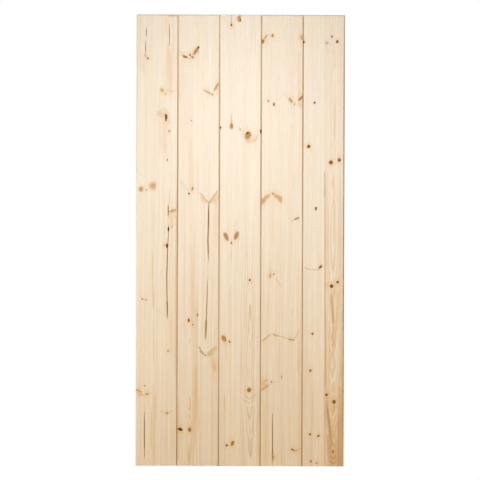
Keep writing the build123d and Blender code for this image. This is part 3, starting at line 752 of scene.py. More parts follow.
def between(values, table):
    """Straight lines through a table of pairs, read at the values, with the table sorted first."""
    ordered = sorted(table)
    return np.interp(values, [pair[0] for pair in ordered], [pair[1] for pair in ordered])


def knot_field(across, along, knot):
    """One at a knot's heart, zero at its edge and negative outside: one less the distance in a tapered
    ellipse, whose long axis leans from the grain."""
    x, z, half_width, half_length, lean, taper = knot[:6]
    angle = math.radians(lean)
    right, up = across - x, along - z
    run = (right * math.sin(angle) + up * math.cos(angle)) / half_length
    width = half_width * np.clip(1 + taper * run, least_taper, most_taper)
    beside = (right * math.cos(angle) - up * math.sin(angle)) / width
    return 1 - np.sqrt(run ** 2 + beside ** 2)


def knot_halo(across, along, knot):
    """The warm halo round a knot: a bell curve that reaches further along the grain than across it."""
    x, z, half_width, half_length = knot[:4]
    right = (across - x) / (half_width + halo_across)
    up = (along - z) / (half_length + halo_along)
    return halo_strength * knot[7] * np.exp(-(right ** 2 + up ** 2))


def bent_grain(across, along, knot):
    """How far a knot pushes the fibres aside: beside it, the square of the distance loses the knot's own."""
    x, z, half_width, half_length, lean = knot[:5]
    upright = 1 - push_ease * abs(math.sin(math.radians(lean)))
    reach = push_reach * half_width * upright
    lift = np.exp(-((along - z) / (push_length * half_length + reach)) ** 2)
    beside = across - x
    return np.sign(beside) * np.sqrt(np.maximum(beside ** 2 - reach ** 2 * lift, 0)) - beside


def streak_field(across, along, streak):
    """One on a streak's line: a bell curve across it, with a spindle's rise and fall along it."""
    start_x, start_z, end_x, end_z, width = streak[:5]
    run_x, run_z = end_x - start_x, end_z - start_z
    length = math.hypot(run_x, run_z)
    right, up = across - start_x, along - start_z
    run = (right * run_x + up * run_z) / length
    beside = (right * run_z - up * run_x) / length
    overrun = width + streak_overrun * length
    spindle = np.sin(math.pi * np.clip((run + overrun) / (length + 2 * overrun), 0, 1))
    return np.exp(-(beside / width) ** 2) * np.sqrt(spindle)


def line_field(across, along, width, places):
    """One on a line through several places: a bell curve of the distance to its nearest stretch, thinner and
    fainter towards both ends of the whole line."""
    lengths = [math.dist(first, second) for first, second in zip(places[:-1], places[1:])]
    field = np.zeros_like(across)
    done = 0.0
    for first, second, length in zip(places[:-1], places[1:], lengths):
        run_x, run_z = (second[0] - first[0]) / length, (second[1] - first[1]) / length
        right, up = across - first[0], along - first[1]
        run = np.clip(right * run_x + up * run_z, 0, length)
        distance = np.hypot(right - run * run_x, up - run * run_z)
        share = np.sin(math.pi * (done + run) / sum(lengths))
        taper = np.clip(line_fade * share, 0, 1)
        own_width = width * (line_end_width + (1 - line_end_width) * taper)
        field = np.maximum(field, taper * np.exp(-(distance / own_width) ** 2))
        done += length
    return field


def wood_marks(across, along, own_knots, own_streaks, own_lines):
    """Fields of marks at points: knot edge, knot shade, warmth, darkness and the fibres' sideways push."""
    edge = np.full_like(across, far_outside)
    shade_sum, weight_sum = np.zeros_like(across), np.full_like(across, least_weight)
    warm, dark, push = np.zeros_like(across), np.zeros_like(across), np.zeros_like(across)
    for knot in own_knots:
        field = knot_field(across, along, knot)
        edge = np.maximum(edge, field)
        weight = np.exp(knot_blend * np.clip(field, far_outside, 1))
        shade_sum += weight * knot[6]
        weight_sum += weight
        warm = np.maximum(warm, knot_halo(across, along, knot))
        push += bent_grain(across, along, knot)
    for streak in own_streaks:
        field = streak_field(across, along, streak)
        warm += streak[5] * field
        dark += streak[6] * field
    for width, line_warm, line_dark, places in own_lines:
        field = line_field(across, along, width, places)
        warm += line_warm * field
        dark += line_dark * field
    return np.stack([edge, shade_sum / weight_sum, warm, dark, push])


class Stave:
    """One stave's span, edges, pith and marks."""

    def __init__(self, board, side, all_knots, all_streaks, all_lines):
        self.name = f"board_{board + 1}_{side}_stave"
        self.board = board
        self.side = side
        self.seed = seeds_per_board * board + sides.index(side)
        self.has_groove = side == "left" and board > 0
        self.has_tongue = side == "right" and board < board_count - 1
        low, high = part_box(self.name)
        self.left = low.x
        self.right = high.x - (tongue_length if self.has_tongue else 0)
        self.knots = [knot for knot in all_knots if self.holds(knot)]
        self.streaks = [streak for streak in all_streaks if self.holds(streak)]
        self.lines = [line for line in all_lines if self.holds(line[3][0])]
        self.back_knots = self.through_knots()

    def holds(self, mark):
        return self.left - mark_margin < mark[0] < self.right + mark_margin

    def through_knots(self):
        """Knots on the back: the front's larger branches, beyond the pith, rounder and higher."""
        made = []
        for x, z, half_width, half_length, lean, taper, shade, halo in self.knots:
            size = math.sqrt(half_width * half_length)
            pith = float(self.pith_x(np.array([z]))[0])
            place = pith - through_spread * (x - pith)
            inside = self.left + through_margin < place < self.right - through_margin
            if size > through_size and inside:
                sizes = (through_width * size, through_length * size)
                made.append((place, z + through_rise, *sizes, through_lean, 0.0, through_shade * shade, halo))
        return made

    def pith_x(self, z):
        """The pith's x at each height: a line through its shares, rounded by a moving mean and ragged."""
        fine = np.linspace(0, leaf_height, pith_samples)
        table = [(along * leaf_height, self.left + across * (self.right - self.left))
                 for across, along in pith_shares[self.name]]
        window = np.hanning(pith_rounding)
        padded = np.pad(between(fine, table), pith_rounding // 2, mode="edge")
        line = np.convolve(padded, window / window.sum(), mode="valid")
        line += check_ragged * smooth_noise(fine, check_ragged_wave, self.seed)
        return np.interp(z, fine, line)

    def pith_depth(self, z):
        """How far behind the front face the pith lies at each height, with a slow wander."""
        depth = between(photo_row(z), pith_depths[self.name])
        return depth + pith_depth_wander * smooth_noise(z, pith_depth_wave, self.seed + pith_depth_seed)

    def timber(self, z):
        """Tone, warmth and ring contrast at each height."""
        rows = timbers[self.name]
        return [between(photo_row(z), [(row[0], row[part]) for row in rows]) for part in (1, 2, 3)]

    def check_opening(self, z):
        """Share of the full check width at each height: a power of a sine over each check's span."""
        opening = np.zeros_like(z)
        for top, bottom in check_spans.get(self.name, []):
            run = np.clip((z / leaf_height - bottom) / (top - bottom), 0, 1)
            opening = np.maximum(opening, np.sin(math.pi * run) ** check_bluntness)
        ragged = 1 + check_opening_ragged * smooth_noise(z, check_opening_wave, self.seed + check_seed)
        return np.where(opening > check_least_opening, opening * ragged, 0)


def row_heights(stave):
    """Heights of a stave's rows: closer together at its knots, with rows kept at the guide groove's top and
    the arrises."""
    fine = np.linspace(0, leaf_height, row_samples)
    crowd = np.ones_like(fine)
    for knot in stave.knots:
        crowd = np.maximum(crowd, 1 + row_crowding * np.exp(-((fine - knot[1]) / row_crowding_reach) ** 2))
    total = np.cumsum(crowd)
    rows = np.interp(np.linspace(total[0], total[-1], row_count), total, fine)
    arris_rows = np.array([0, arris_row_share * end_arris, end_arris])
    kept = np.concatenate([arris_rows, [guide_top], leaf_height - arris_rows])
    clear = np.abs(rows[:, None] - kept[None, :]).min(axis=1) > row_clearance
    return np.sort(np.concatenate([rows[clear], kept]))


def chamfered_edge(x, inward):
    """A chamfered front edge from the side to the face, with softened arrises."""
    slope = soft_arris_share * soft_arris
    return [
        (x, front_y + face_chamfer + soft_arris),
        (x + inward * slope, front_y + face_chamfer - slope),
        (x + inward * (face_chamfer - slope), front_y + slope),
        (x + inward * (face_chamfer + soft_arris), front_y),
    ]


def stave_outline(stave):
    """Corners of a stave's section in five runs: left edge, right edge, tongue, back and groove."""
    left, right = stave.left, stave.right
    tongue_front = front_y + tongue_setback
    tongue_back = tongue_front + tongue_thickness
    tongue, groove = [], []
    left_back = (left, guide_back_y)
    if stave.side == "left":
        left_edge = [(left, guide_front_y)] + chamfered_edge(left, 1)
        right_edge = [(right, front_y), (right, front_y + glue_arris), (right, guide_front_y)]
        back_right = [(right, guide_back_y), (right, back_y)]
        back_left = [(left + back_arris, back_y), (left, back_y - back_arris)]
        if stave.has_groove:
            groove_front = tongue_front - tongue_side_clearance
            groove_back = tongue_back + tongue_side_clearance
            groove_end = left + tongue_length + tongue_end_clearance
            left_back = (left, groove_back)
            groove = [(groove_end, groove_back), (groove_end, groove_front), (left, groove_front)]
    else:
        left_edge = [(left, guide_front_y), (left, front_y + glue_arris), (left, front_y)]
        right_edge = chamfered_edge(right, -1)[::-1] + [(right, guide_front_y)]
        shoulder = right - (back_shoulder_gap if stave.has_tongue else 0)
        back_right = [(shoulder, guide_back_y), (shoulder, back_y - back_arris)]
        back_right.append((shoulder - back_arris, back_y))
        back_left = [(left, back_y)]
        if stave.has_tongue:
            tip = right + tongue_length
            tongue = [
                (right, tongue_front), (tip - tongue_tip_chamfer, tongue_front),
                (tip, tongue_front + tongue_tip_chamfer), (tip, tongue_back - tongue_tip_chamfer),
                (tip - tongue_tip_chamfer, tongue_back),
            ]
    start, end = back_right[-1][0], back_left[0][0]
    steps = max(2, round((start - end) / back_column_width))
    middle = [(x, back_y) for x in np.linspace(start, end, steps + 1)[1:-1]]
    back = back_right + middle + back_left + [left_back]
    return left_edge, right_edge, tongue, back, groove


def front_face(stave, z, start, end):
    pith = stave.pith_x(z)
    opening = stave.check_opening(z)
    lip = np.maximum(check_least_lip, 0.5 * check_width * opening)
    mean_pith = pith.mean()
    left_run = np.linspace(0, 1, round((mean_pith - start) / front_column_width) + 1)[1:]
    right_run = np.linspace(0, 1, round((end - mean_pith) / front_column_width) + 1)[:-1]
    left_x = start + (pith - lip - start)[:, None] * left_run[None, :]
    right_x = (pith + lip)[:, None] + (end - pith - lip)[:, None] * right_run[None, :]
    notch_x = pith[:, None] + lip[:, None] * np.array(check_notch_across)[None, :]
    notch_y = check_depth * opening[:, None] * np.array(check_notch_down)[None, :]
    x = np.concatenate([left_x, notch_x, right_x], axis=1)
    y = np.concatenate([np.zeros_like(left_x), notch_y, np.zeros_like(right_x)], axis=1)
    return x, front_y + y


def end_setback(z):
    """How far the front edge is set back near the ends: a quarter round as large as the end arris."""
    near = np.minimum(z, leaf_height - z)
    inside = np.clip(1 - near / end_arris, 0, 1)
    return end_arris * (1 - np.sqrt(1 - inside ** 2))


def stave_surface(stave):
    """A stave's section carried up its rows: arrays of x, y and z by row and column, with the run lengths."""
    z = row_heights(stave)
    left_edge, right_edge, tongue, back, groove = stave_outline(stave)
    face_x, face_y = front_face(stave, z, left_edge[-1][0], right_edge[0][0])
    face_y = face_y + end_setback(z)[:, None]

    def upright(points):
        corners = np.array(points).reshape(-1, 2)
        ones = np.ones((len(z), 1))
        return ones * corners[None, :, 0], ones * corners[None, :, 1]

    runs = [upright(left_edge), (face_x, face_y)]
    runs += [upright(run) for run in (right_edge, tongue, back, groove)]
    x = np.concatenate([run[0] for run in runs], axis=1)
    y = np.concatenate([run[1] for run in runs], axis=1)
    lengths = [run[0].shape[1] for run in runs]
    return x, y, z[:, None] * np.ones_like(x), lengths


def stave_faces(heights, lengths):
    """Faces of a stave: quads round every row above the guide groove, two legs of quads beside it, and flat
    caps."""
    rows, columns = len(heights), sum(lengths)
    front_end = lengths[0] + lengths[1] + lengths[2] - 1
    back_start = front_end + 1 + lengths[3]
    back_end = back_start + lengths[4] - 1
    guide_row = int(np.argmin(np.abs(heights - guide_top)))

    def quads(first, second, low, high):
        row = np.arange(low, high)[:, None] * columns
        a, b = row + first[None, :], row + second[None, :]
        return np.stack([a, b, b + columns, a + columns], axis=-1).reshape(-1, 4)

    around = np.arange(columns)
    front = np.arange(0, front_end)
    back = np.arange(back_start, back_end)
    faces = [
        quads(around, (around + 1) % columns, guide_row, rows - 1),
        quads(front, front + 1, 0, guide_row),
        quads(back, back + 1, 0, guide_row),
        quads(np.array([front_end, back_end]), np.array([0, back_start]), 0, guide_row),
    ]
    ceiling = np.concatenate([[0], np.arange(front_end, back_start + 1), np.arange(back_end, columns)])
    caps = [
        np.arange(0, front_end + 1)[::-1],
        np.arange(back_start, back_end + 1)[::-1],
        guide_row * columns + np.unique(ceiling)[::-1],
        (rows - 1) * columns + around,
    ]
    return np.concatenate(faces).tolist() + [cap.tolist() for cap in caps]


def point_fields(**parts):
    """Each field's three parts as one row to a point."""
    return {name: np.stack(values, axis=-1).reshape(-1, 3) for name, values in parts.items()}


def finished_mesh(name, points, faces, fields, material):
    """A mesh object of the points that faces use, with fields on them, smooth apart from sharp arrises."""
    used = np.unique(np.concatenate(faces))
    place = np.full(len(points), -1)
    place[used] = np.arange(len(used))
    mesh = bpy.data.meshes.new(name)
    mesh.from_pydata(points[used].tolist(), [], [place[face].tolist() for face in faces])
    for field, values in fields.items():
        layer = mesh.attributes.new(field, "FLOAT_VECTOR", "POINT")
        layer.data.foreach_set("vector", np.ascontiguousarray(values[used], dtype=np.float32).ravel())
    mesh.materials.append(material)
    mesh.validate()
    mesh.shade_smooth()
    mesh.set_sharp_from_angle(angle=math.radians(sharp_angle))
    made = bpy.data.objects.new(name, mesh)
    bpy.context.scene.collection.objects.link(made)
    return made


def hand_over(made, node):
    """Lets a piece move with the leaf and stand in for a node."""
    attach(made, "root")
    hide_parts(node)


def chamfer_light_and_shade_places(stave, lengths, heights):
    """Place in the seam's tints for each point: none on faces, and on chamfers a value read between given
    heights. These are painted light and shade: the joints have their own, deeper towards the bottom, the
    leaf's left edge takes a painted highlight and its right edge painted grey shade."""
    rise = heights / leaf_height
    places = np.zeros((len(heights), sum(lengths)))
    if stave.side == "left":
        # The leaf's left edge: a painted highlight from bottom to top.
        edge = np.full(len(heights), lit_place)
        if stave.has_groove:
            edge = np.interp(rise, joint_heights, joint_light_and_shade_places[stave.board - 1][1])
        places[:, 1: 1 + tinted_corners] = edge[:, None]
    else:
        first = sum(lengths[:2]) + 1
        # The leaf's right edge takes painted shade; a joint's tongue side takes the joint's painted light and
        # shade.
        edge = np.interp(rise, edge_heights, edge_shade_places)
        if stave.has_tongue:
            edge = np.interp(rise, joint_heights, joint_light_and_shade_places[stave.board][0])
        places[:, first: first + tinted_corners] = edge[:, None]
    return places


def make_stave(stave, material):
    """One stave with its wood coordinates: grain, knot, stain with the chamfers' painted light and shade, and
    timber at each point.
    """
    x, y, z, lengths = stave_surface(stave)
    heights = z[:, 0]
    front = np.arange(sum(lengths)) < sum(lengths[:3])
    front_marks = wood_marks(x, z, stave.knots, stave.streaks, stave.lines)
    back_marks = wood_marks(x, z, stave.back_knots, [], [])
    edge, shade, warm, dark, push = np.where(front[None, None, :], front_marks, back_marks)
    pith = stave.pith_x(heights)[:, None]
    opening = stave.check_opening(heights)[:, None] * front[None, :]
    beside_check = np.exp(-((x - pith) / check_stain) ** 2) * opening
    warm = warm + check_warmth * beside_check
    dark = dark + check_darkness * beside_check
    across = x - pith + push
    inward = (y - front_y) - stave.pith_depth(heights)[:, None]
    fields = point_fields(
        grain=(across, inward, z + grain_spacing * stave.seed),
        knot=(edge, shade, np.zeros_like(x)),
        # The third part of this field places the chamfers' painted light and shade.
        stain=(warm, dark, chamfer_light_and_shade_places(stave, lengths, heights)),
        timber=[part[:, None] * np.ones_like(x) for part in stave.timber(heights)],
    )
    points = np.stack([x, y, z], axis=-1).reshape(-1, 3)
    faces = stave_faces(heights, lengths)
    made = finished_mesh(stave.name.replace("stave", "stave_wood"), points, faces, fields, material)
    hand_over(made, stave.name)


def screw_places(ledge, staves):
    """Each screw's x and z in a ledge: the middle of each stave, in turn above and below the centre line."""
    low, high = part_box(ledge)
    middle = (low.z + high.z) / 2
    rises = {"left": screw_stagger, "right": -screw_stagger}
    return [((stave.left + stave.right) / 2, middle + rises[stave.side]) for stave in staves]


def grid_lines(start, end, kept, step):
    """Grid lines from start to end: every kept line, and even lines between those that are further apart."""
    marks = np.unique(np.round(np.concatenate([[start, end], kept]), grid_digits))
    runs = [np.linspace(low, high, max(1, round((high - low) / step)) + 1)[:-1]
            for low, high in zip(marks[:-1], marks[1:])]
    return np.concatenate(runs + [[end]])


def grid_cells(index):
    """Quads of a grid of point numbers, one to a cell."""
    return np.stack([index[:-1, :-1], index[:-1, 1:], index[1:, 1:], index[1:, :-1]], axis=-1)


def grid_border(index):
    """Point numbers once round a grid's border."""
    return np.concatenate([index[0, :-1], index[:-1, -1], index[-1, :0:-1], index[:0:-1, 0]])


def band(upper, lower):
    """Quads between two closed loops of point numbers: each point, the one below it and the next of both."""
    after = np.roll(np.arange(len(upper)), -1)
    return np.stack([upper, lower, lower[after], upper[after]], axis=-1).tolist()


def ledge_surface(ledge, holes):
    """A ledge's back as a grid whose edges drop by the chamfer, walls down to the boards, and a countersunk
    hole in place of a square of cells at every screw: a ring at the face, one at the cone's foot and a flat
    bottom."""
    low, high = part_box(ledge)
    offsets = np.linspace(-hole_patch, hole_patch, hole_cells + 1)
    chamfer_lines = np.array([0.5 * soft_arris, ledge_chamfer - soft_arris, ledge_chamfer + soft_arris])
    kept_x = np.concatenate([low.x + chamfer_lines, high.x - chamfer_lines] + [x + offsets for x, z in holes])
    kept_z = np.concatenate([low.z + chamfer_lines, high.z - chamfer_lines] + [z + offsets for x, z in holes])
    lines_x = grid_lines(low.x, high.x, kept_x, ledge_column_width)
    lines_z = grid_lines(low.z, high.z, kept_z, ledge_column_width)
    x, z = np.meshgrid(lines_x, lines_z)
    inset = np.minimum(np.minimum(x - low.x, high.x - x), np.minimum(z - low.z, high.z - z))
    y = ledge_back_y - np.maximum(ledge_chamfer - inset, 0)
    index = np.arange(x.size).reshape(x.shape)
    cells = grid_cells(index)[..., [0, 3, 2, 1]]
    keep = np.ones(cells.shape[:2], bool)
    stations = ((screw_head_radius, 0.0), (screw_shank_radius, screw_head_depth))
    points = [np.column_stack([x.ravel(), y.ravel(), z.ravel()])]
    hole_faces = []
    for number, (hole_x, hole_z) in enumerate(holes):
        column = int(np.argmin(np.abs(lines_x - hole_x + hole_patch)))
        row = int(np.argmin(np.abs(lines_z - hole_z + hole_patch)))
        keep[row: row + hole_cells, column: column + hole_cells] = False
        square = grid_border(index[row: row + hole_cells + 1, column: column + hole_cells + 1])
        angle = np.arctan2(z.ravel()[square] - hole_z, x.ravel()[square] - hole_x)
        for radius, depth in stations:
            grown = radius + screw_clearance
            ring_x, ring_z = hole_x + grown * np.cos(angle), hole_z + grown * np.sin(angle)
            points.append(np.column_stack([ring_x, np.full(len(angle), ledge_back_y - depth), ring_z]))
        rim = x.size + 2 * len(square) * number + np.arange(len(square))
        foot = rim + len(square)
        hole_faces += band(square, rim) + band(rim, foot) + [foot[::-1].tolist()]
    points = np.concatenate(points)
    border = grid_border(index)
    base_points = points[border].copy()
    base_points[:, 1] = back_y
    base = len(points) + np.arange(len(border))
    faces = cells[keep].tolist() + hole_faces + band(base, border) + [base.tolist()]
    return np.concatenate([points, base_points]), faces


def make_ledge(ledge, seed, staves, material):
    """One ledge with its grain along X, the pith behind its back face and its own knots."""
    low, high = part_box(ledge)
    points, faces = ledge_surface(ledge, screw_places(ledge, staves))
    x, y, z = points.T
    own_knots = [(low.z + across * (high.z - low.z), low.x + along * (high.x - low.x), *rest)
                 for along, across, *rest in ledge_knots[ledge]]
    edge, shade, warm, dark, push = wood_marks(z, x, own_knots, [], [])
    edge = np.where(y > back_y + ledge_foot, edge, far_outside)
    across = z - (low.z + high.z) / 2 + ledge_pith_wander * smooth_noise(x, ledge_pith_wave, seed) + push
    wander = ledge_depth_wander * smooth_noise(x, ledge_depth_wave, seed + 1)
    inward = (ledge_back_y - y) + ledge_pith_depth + wander
    fields = point_fields(
        grain=(across, inward, x + grain_spacing * seed),
        knot=(edge, shade, np.zeros_like(x)),
        stain=(warm, dark, np.zeros_like(x)),
        timber=[np.full_like(x, part) for part in ledge_timber],
    )
    made = finished_mesh(ledge + "_wood", points, faces, fields, material)
    hand_over(made, ledge)


def screw_shape():
    """A screw with its head's top at the origin and its point down -Z. The head is a square grid drawn out
    to a disc at its rim and sunk in a cross; rings then run down the cone, the shank and the point."""
    half = np.array(screw_head_lines)
    line = np.concatenate([-half[:0:-1], half])
    p, q = np.meshgrid(line, line)
    reach = np.maximum(np.abs(p), np.abs(q))
    blend = np.clip((reach - screw_square_reach) / (screw_head_radius - screw_square_reach), 0, 1)
    disc = np.divide(reach, np.hypot(p, q), out=np.ones_like(p), where=reach > 0)
    scale = 1 - blend + blend * disc
    along_x = np.minimum(recess_half_span - np.abs(p), recess_half_arm - np.abs(q))
    along_y = np.minimum(recess_half_arm - np.abs(p), recess_half_span - np.abs(q))
    sunk = recess_depth * (np.maximum(along_x, along_y) > 0)
    head = np.column_stack([(p * scale).ravel(), (q * scale).ravel(), -sunk.ravel()])
    index = np.arange(p.size).reshape(p.shape)
    faces = grid_cells(index).reshape(-1, 4).tolist()
    rim = grid_border(index)
    outward = head[rim, :2] / screw_head_radius
    stations = [
        (screw_head_radius, screw_rim_depth), (screw_shank_radius, screw_head_depth),
        (screw_shank_radius, screw_length - screw_point_length), (screw_tip_radius, screw_length),
    ]
    rings = [np.column_stack([outward * radius, np.full(len(rim), -depth)]) for radius, depth in stations]
    loops = [rim] + [p.size + step * len(rim) + np.arange(len(rim)) for step in range(len(stations))]
    for upper, lower in zip(loops[:-1], loops[1:]):
        faces += band(upper, lower)
    faces.append(loops[-1][::-1].tolist())
    return np.concatenate([head] + rings), faces


def make_screws(staves, material):
    """All the screws in one piece, each turned by its own seeded angle and driven in from the back."""
    shape, shape_faces = screw_shape()
    dice = np.random.default_rng(screw_seed)
    points, faces = [], []
    for ledge in ledge_names:
        for x, z in screw_places(ledge, staves):
            turn = dice.uniform(0, math.pi)
            right = shape[:, 0] * math.cos(turn) - shape[:, 1] * math.sin(turn)
            up = shape[:, 0] * math.sin(turn) + shape[:, 1] * math.cos(turn)
            base = len(points) * len(shape)
            faces += (base + np.array(shape_faces[:-1])).tolist()
            faces.append((base + np.array(shape_faces[-1])).tolist())
            points.append(np.column_stack([x - right, ledge_back_y + shape[:, 2], z + up]))
    made = finished_mesh("ledge_screws_zinc", np.concatenate(points), faces, {}, material)
    hand_over(made, "ledge_screws")


class Shader:
    """Short ways to add nodes to a material or the world: each source is a socket to link, a value to set or
    None to leave."""

    def __init__(self, owner):
        owner.use_nodes = True
        self.tree = owner.node_tree

    def node(self, kind, *sources, **settings):
        made = self.tree.nodes.new(kind)
        for setting, value in settings.items():
            setattr(made, setting, value)
        for place, source in enumerate(sources):
            self.feed(made.inputs[place], source)
        return made

    def feed(self, socket, source):
        if isinstance(source, bpy.types.NodeSocket):
            self.tree.links.new(source, socket)
        elif source is not None:
            socket.default_value = source

    def math(self, operation, first, second=None, clamp=False):
        return self.node("ShaderNodeMath", first, second, operation=operation, use_clamp=clamp).outputs[0]

    def plus(self, base, value, share):
        """The base with a share of the value added."""
        return self.node("ShaderNodeMath", value, share, base, operation="MULTIPLY_ADD").outputs[0]

    def attribute(self, name):
        read = self.node("ShaderNodeAttribute", attribute_name=name)
        return self.node("ShaderNodeSeparateXYZ", read.outputs["Vector"]).outputs

    def vector(self, x, y, z):
        return self.node("ShaderNodeCombineXYZ", x, y, z).outputs[0]

    def noise(self, place, cells, detail, roughness):
        """Noise about zero, with its cells along each axis."""
        made = self.node("ShaderNodeTexNoise")
        spread = self.node("ShaderNodeVectorMath", place, cells, operation="MULTIPLY").outputs[0]
        self.feed(made.inputs["Vector"], spread)
        made.inputs["Scale"].default_value = 1.0
        made.inputs["Detail"].default_value = detail
        made.inputs["Roughness"].default_value = roughness
        return self.math("SUBTRACT", made.outputs[0], 0.5)

    def step(self, value, low, high):
        made = self.node("ShaderNodeMapRange", value, low, high, 0.0, 1.0, interpolation_type="SMOOTHSTEP")
        return made.outputs[0]

    def mix(self, factor, first, second, blend="MIX"):
        made = self.node("ShaderNodeMix", data_type="RGBA", blend_type=blend)
        self.feed(made.inputs["Factor"], factor)
        for name, source in (("A", first), ("B", second)):
            socket = [entry for entry in made.inputs if entry.name == name and entry.type == "RGBA"][0]
            self.feed(socket, source)
        return [entry for entry in made.outputs if entry.type == "RGBA"][0]

    def ramp(self, value, stops):
        made = self.node("ShaderNodeValToRGB", value)
        elements = made.color_ramp.elements
        while len(elements) < len(stops):
            elements.new(0.5)
        for element, (place, tint) in zip(elements, stops):
            element.position = place
            element.color = tint
        return made.outputs[0]

    def seen_rays(self):
        """One for rays from the camera, a mirror or glass, and zero for rays that only carry light."""
        path = self.node("ShaderNodeLightPath").outputs
        seen = self.math("ADD", path["Is Camera Ray"], path["Is Glossy Ray"])
        return self.math("ADD", seen, path["Is Transmission Ray"], clamp=True)


def late_share(shader, wood, radius, contrast):
    """Share of late wood: rings are the distance from the pith, shifted by noise and divided by the ring
    width. Each ring darkens from early to late wood and then breaks off, in some more than in others."""
    growth = shader.noise(shader.vector(radius, 0.0, growth_row), *growth_noise)
    shift = shader.math("MULTIPLY", growth, growth_shift)
    shift = shader.plus(shift, shader.noise(wood, *wander_noise), wander_shift)
    shift = shader.plus(shift, shader.noise(wood, *ragged_noise), ragged_shift)
    phase = shader.math("DIVIDE", shader.math("ADD", radius, shift), ring_width)
    within = shader.math("FRACT", phase)
    number = shader.math("FLOOR", phase)
    chance = shader.node("ShaderNodeTexWhiteNoise", None, number, noise_dimensions="1D").outputs[0]
    vigour = shader.plus(least_vigour, shader.math("POWER", chance, vigour_power), vigour_spread)
    fall = shader.math("SUBTRACT", 1.0, shader.step(within, *late_break))
    late = shader.math("MULTIPLY", shader.step(within, *late_rise), fall)
    return shader.math("MULTIPLY", shader.math("MULTIPLY", late, vigour), contrast, clamp=True)


def wood_colour(shader, wood, late, fibre, stain, timber, lightness):
    """Colour of the wood between knots, without its dark stains: early and late wood, turned warmer by stain,
    timber and noise, then made deeper or paler by a gamma that falls with the level."""
    tint = shader.mix(shader.math("MULTIPLY", late, late_strength), early_wood, late_wood)
    warmth = shader.math("MULTIPLY", timber[1], timber_warmth)
    warmth = shader.plus(warmth, stain[0], stain_warmth)
    warmth = shader.plus(warmth, shader.noise(wood, *hue_noise), hue_warmth)
    tint = shader.mix(shader.math("MINIMUM", warmth, most_warmth), tint, warm_wood)
    level = shader.plus(lightness, shader.noise(wood, *broad_noise), broad_level)
    level = shader.plus(level, shader.noise(wood, *streak_noise), streak_level)
    level = shader.plus(level, fibre, fibre_level)
    level = shader.math("SUBTRACT", level, timber[0])
    return shader.node("ShaderNodeGamma", tint, shader.plus(gamma_start, level, gamma_slope)).outputs[0]


def knot_look(shader, wood, knot):
    """How far a point is inside a knot, and the knot's colour there: its shade, deeper at the rim and varied
    by rings and mottle. Pale knots have softer edges."""
    edge = shader.plus(knot[0], shader.noise(wood, *knot_edge_noise), knot_edge_roughness)
    paleness = shader.math("MAXIMUM", shader.math("SUBTRACT", pale_shade, knot[1]), 0.0)
    softness = shader.plus(least_softness, paleness, pale_softness)
    inside = shader.step(edge, shader.math("MULTIPLY", softness, -1.0), softness)
    rim = shader.math("SUBTRACT", 1.0, shader.step(edge, *knot_rim))
    shade = shader.plus(knot[1], rim, rim_shade)
    rings = shader.noise(shader.vector(edge, knot[1], 0.0), *knot_ring_noise)
    shade = shader.plus(shade, rings, knot_ring_shade)
    shade = shader.plus(shade, shader.noise(wood, *mottle_noise), mottle_shade)
    return inside, shader.ramp(shade, knot_stops)


def pine_finish(name, lightness):
    """Planed, untreated pine. Fibres are noise drawn out along the grain. Rings, knots, stains and the
    chamfers' painted light and shade come from the points' own fields. Knots and stains are dull, and late
    wood is smoother and a little proud."""
    material = bpy.data.materials.new(name)
    shader = Shader(material)
    surface = shader.tree.nodes["Principled BSDF"].inputs
    grain = shader.attribute("grain")
    knot = shader.attribute("knot")
    stain = shader.attribute("stain")
    timber = shader.attribute("timber")
    wood = shader.vector(grain[0], grain[1], grain[2])
    from_pith = shader.vector(grain[0], grain[1], 0.0)
    radius = shader.node("ShaderNodeVectorMath", from_pith, operation="LENGTH").outputs["Value"]
    late = late_share(shader, wood, radius, timber[2])
    fibre = shader.noise(wood, *fibre_noise)

    tint = wood_colour(shader, wood, late, fibre, stain, timber, lightness)
    stained = shader.plus(shader.math("MULTIPLY", stain[1], stain_darkness), fibre, fibre_stain)
    stained = shader.math("MULTIPLY", shader.step(stain[1], 0.0, stain_start), stained, clamp=True)
    tint = shader.mix(stained, tint, stained_wood)
    inside, knot_tint = knot_look(shader, wood, knot)
    tint = shader.mix(inside, tint, knot_tint)
    # Painted light and shade on the chamfers: the seam's tints multiply the colour, a painted highlight on
    # lit chamfers, painted shade lower down and on the right edge.
    tint = shader.mix(1.0, tint, shader.ramp(stain[2], chamfer_light_and_shade_stops), "MULTIPLY")
    shader.feed(surface["Base Color"], tint)

    covered = shader.math("MAXIMUM", inside, shader.math("MULTIPLY", stained, stain_cover), clamp=True)
    sheen = shader.node("ShaderNodeMapRange", covered, 0.0, 1.0, plain_gloss, dark_gloss).outputs[0]
    shader.feed(surface["Specular IOR Level"], sheen)
    surface["IOR"].default_value = resin_ior
    roughness = shader.plus(wood_roughness, late, late_roughness)
    shader.feed(surface["Roughness"], shader.plus(roughness, fibre, fibre_roughness))
    bump = shader.node("ShaderNodeBump")
    bump.inputs["Strength"].default_value = bump_strength
    bump.inputs["Distance"].default_value = bump_distance
    shader.feed(bump.inputs["Height"], shader.plus(fibre, late, late_relief))
    shader.feed(surface["Normal"], bump.outputs[0])
    return material


def screw_finish():
    """Yellow zinc plate: a thin metal skin with cloudy tone and fine wear."""
    material = bpy.data.materials.new("yellow_zinc")
    shader = Shader(material)
    surface = shader.tree.nodes["Principled BSDF"].inputs
    cloud = shader.noise(shader.node("ShaderNodeTexCoord").outputs["Object"], *zinc_noise)
    shader.feed(surface["Base Color"], shader.ramp(shader.math("ADD", cloud, zinc_middle), zinc_stops))
    shader.feed(surface["Roughness"], shader.plus(zinc_roughness, cloud, zinc_cloudiness))
    surface["Metallic"].default_value = 1.0
    return material


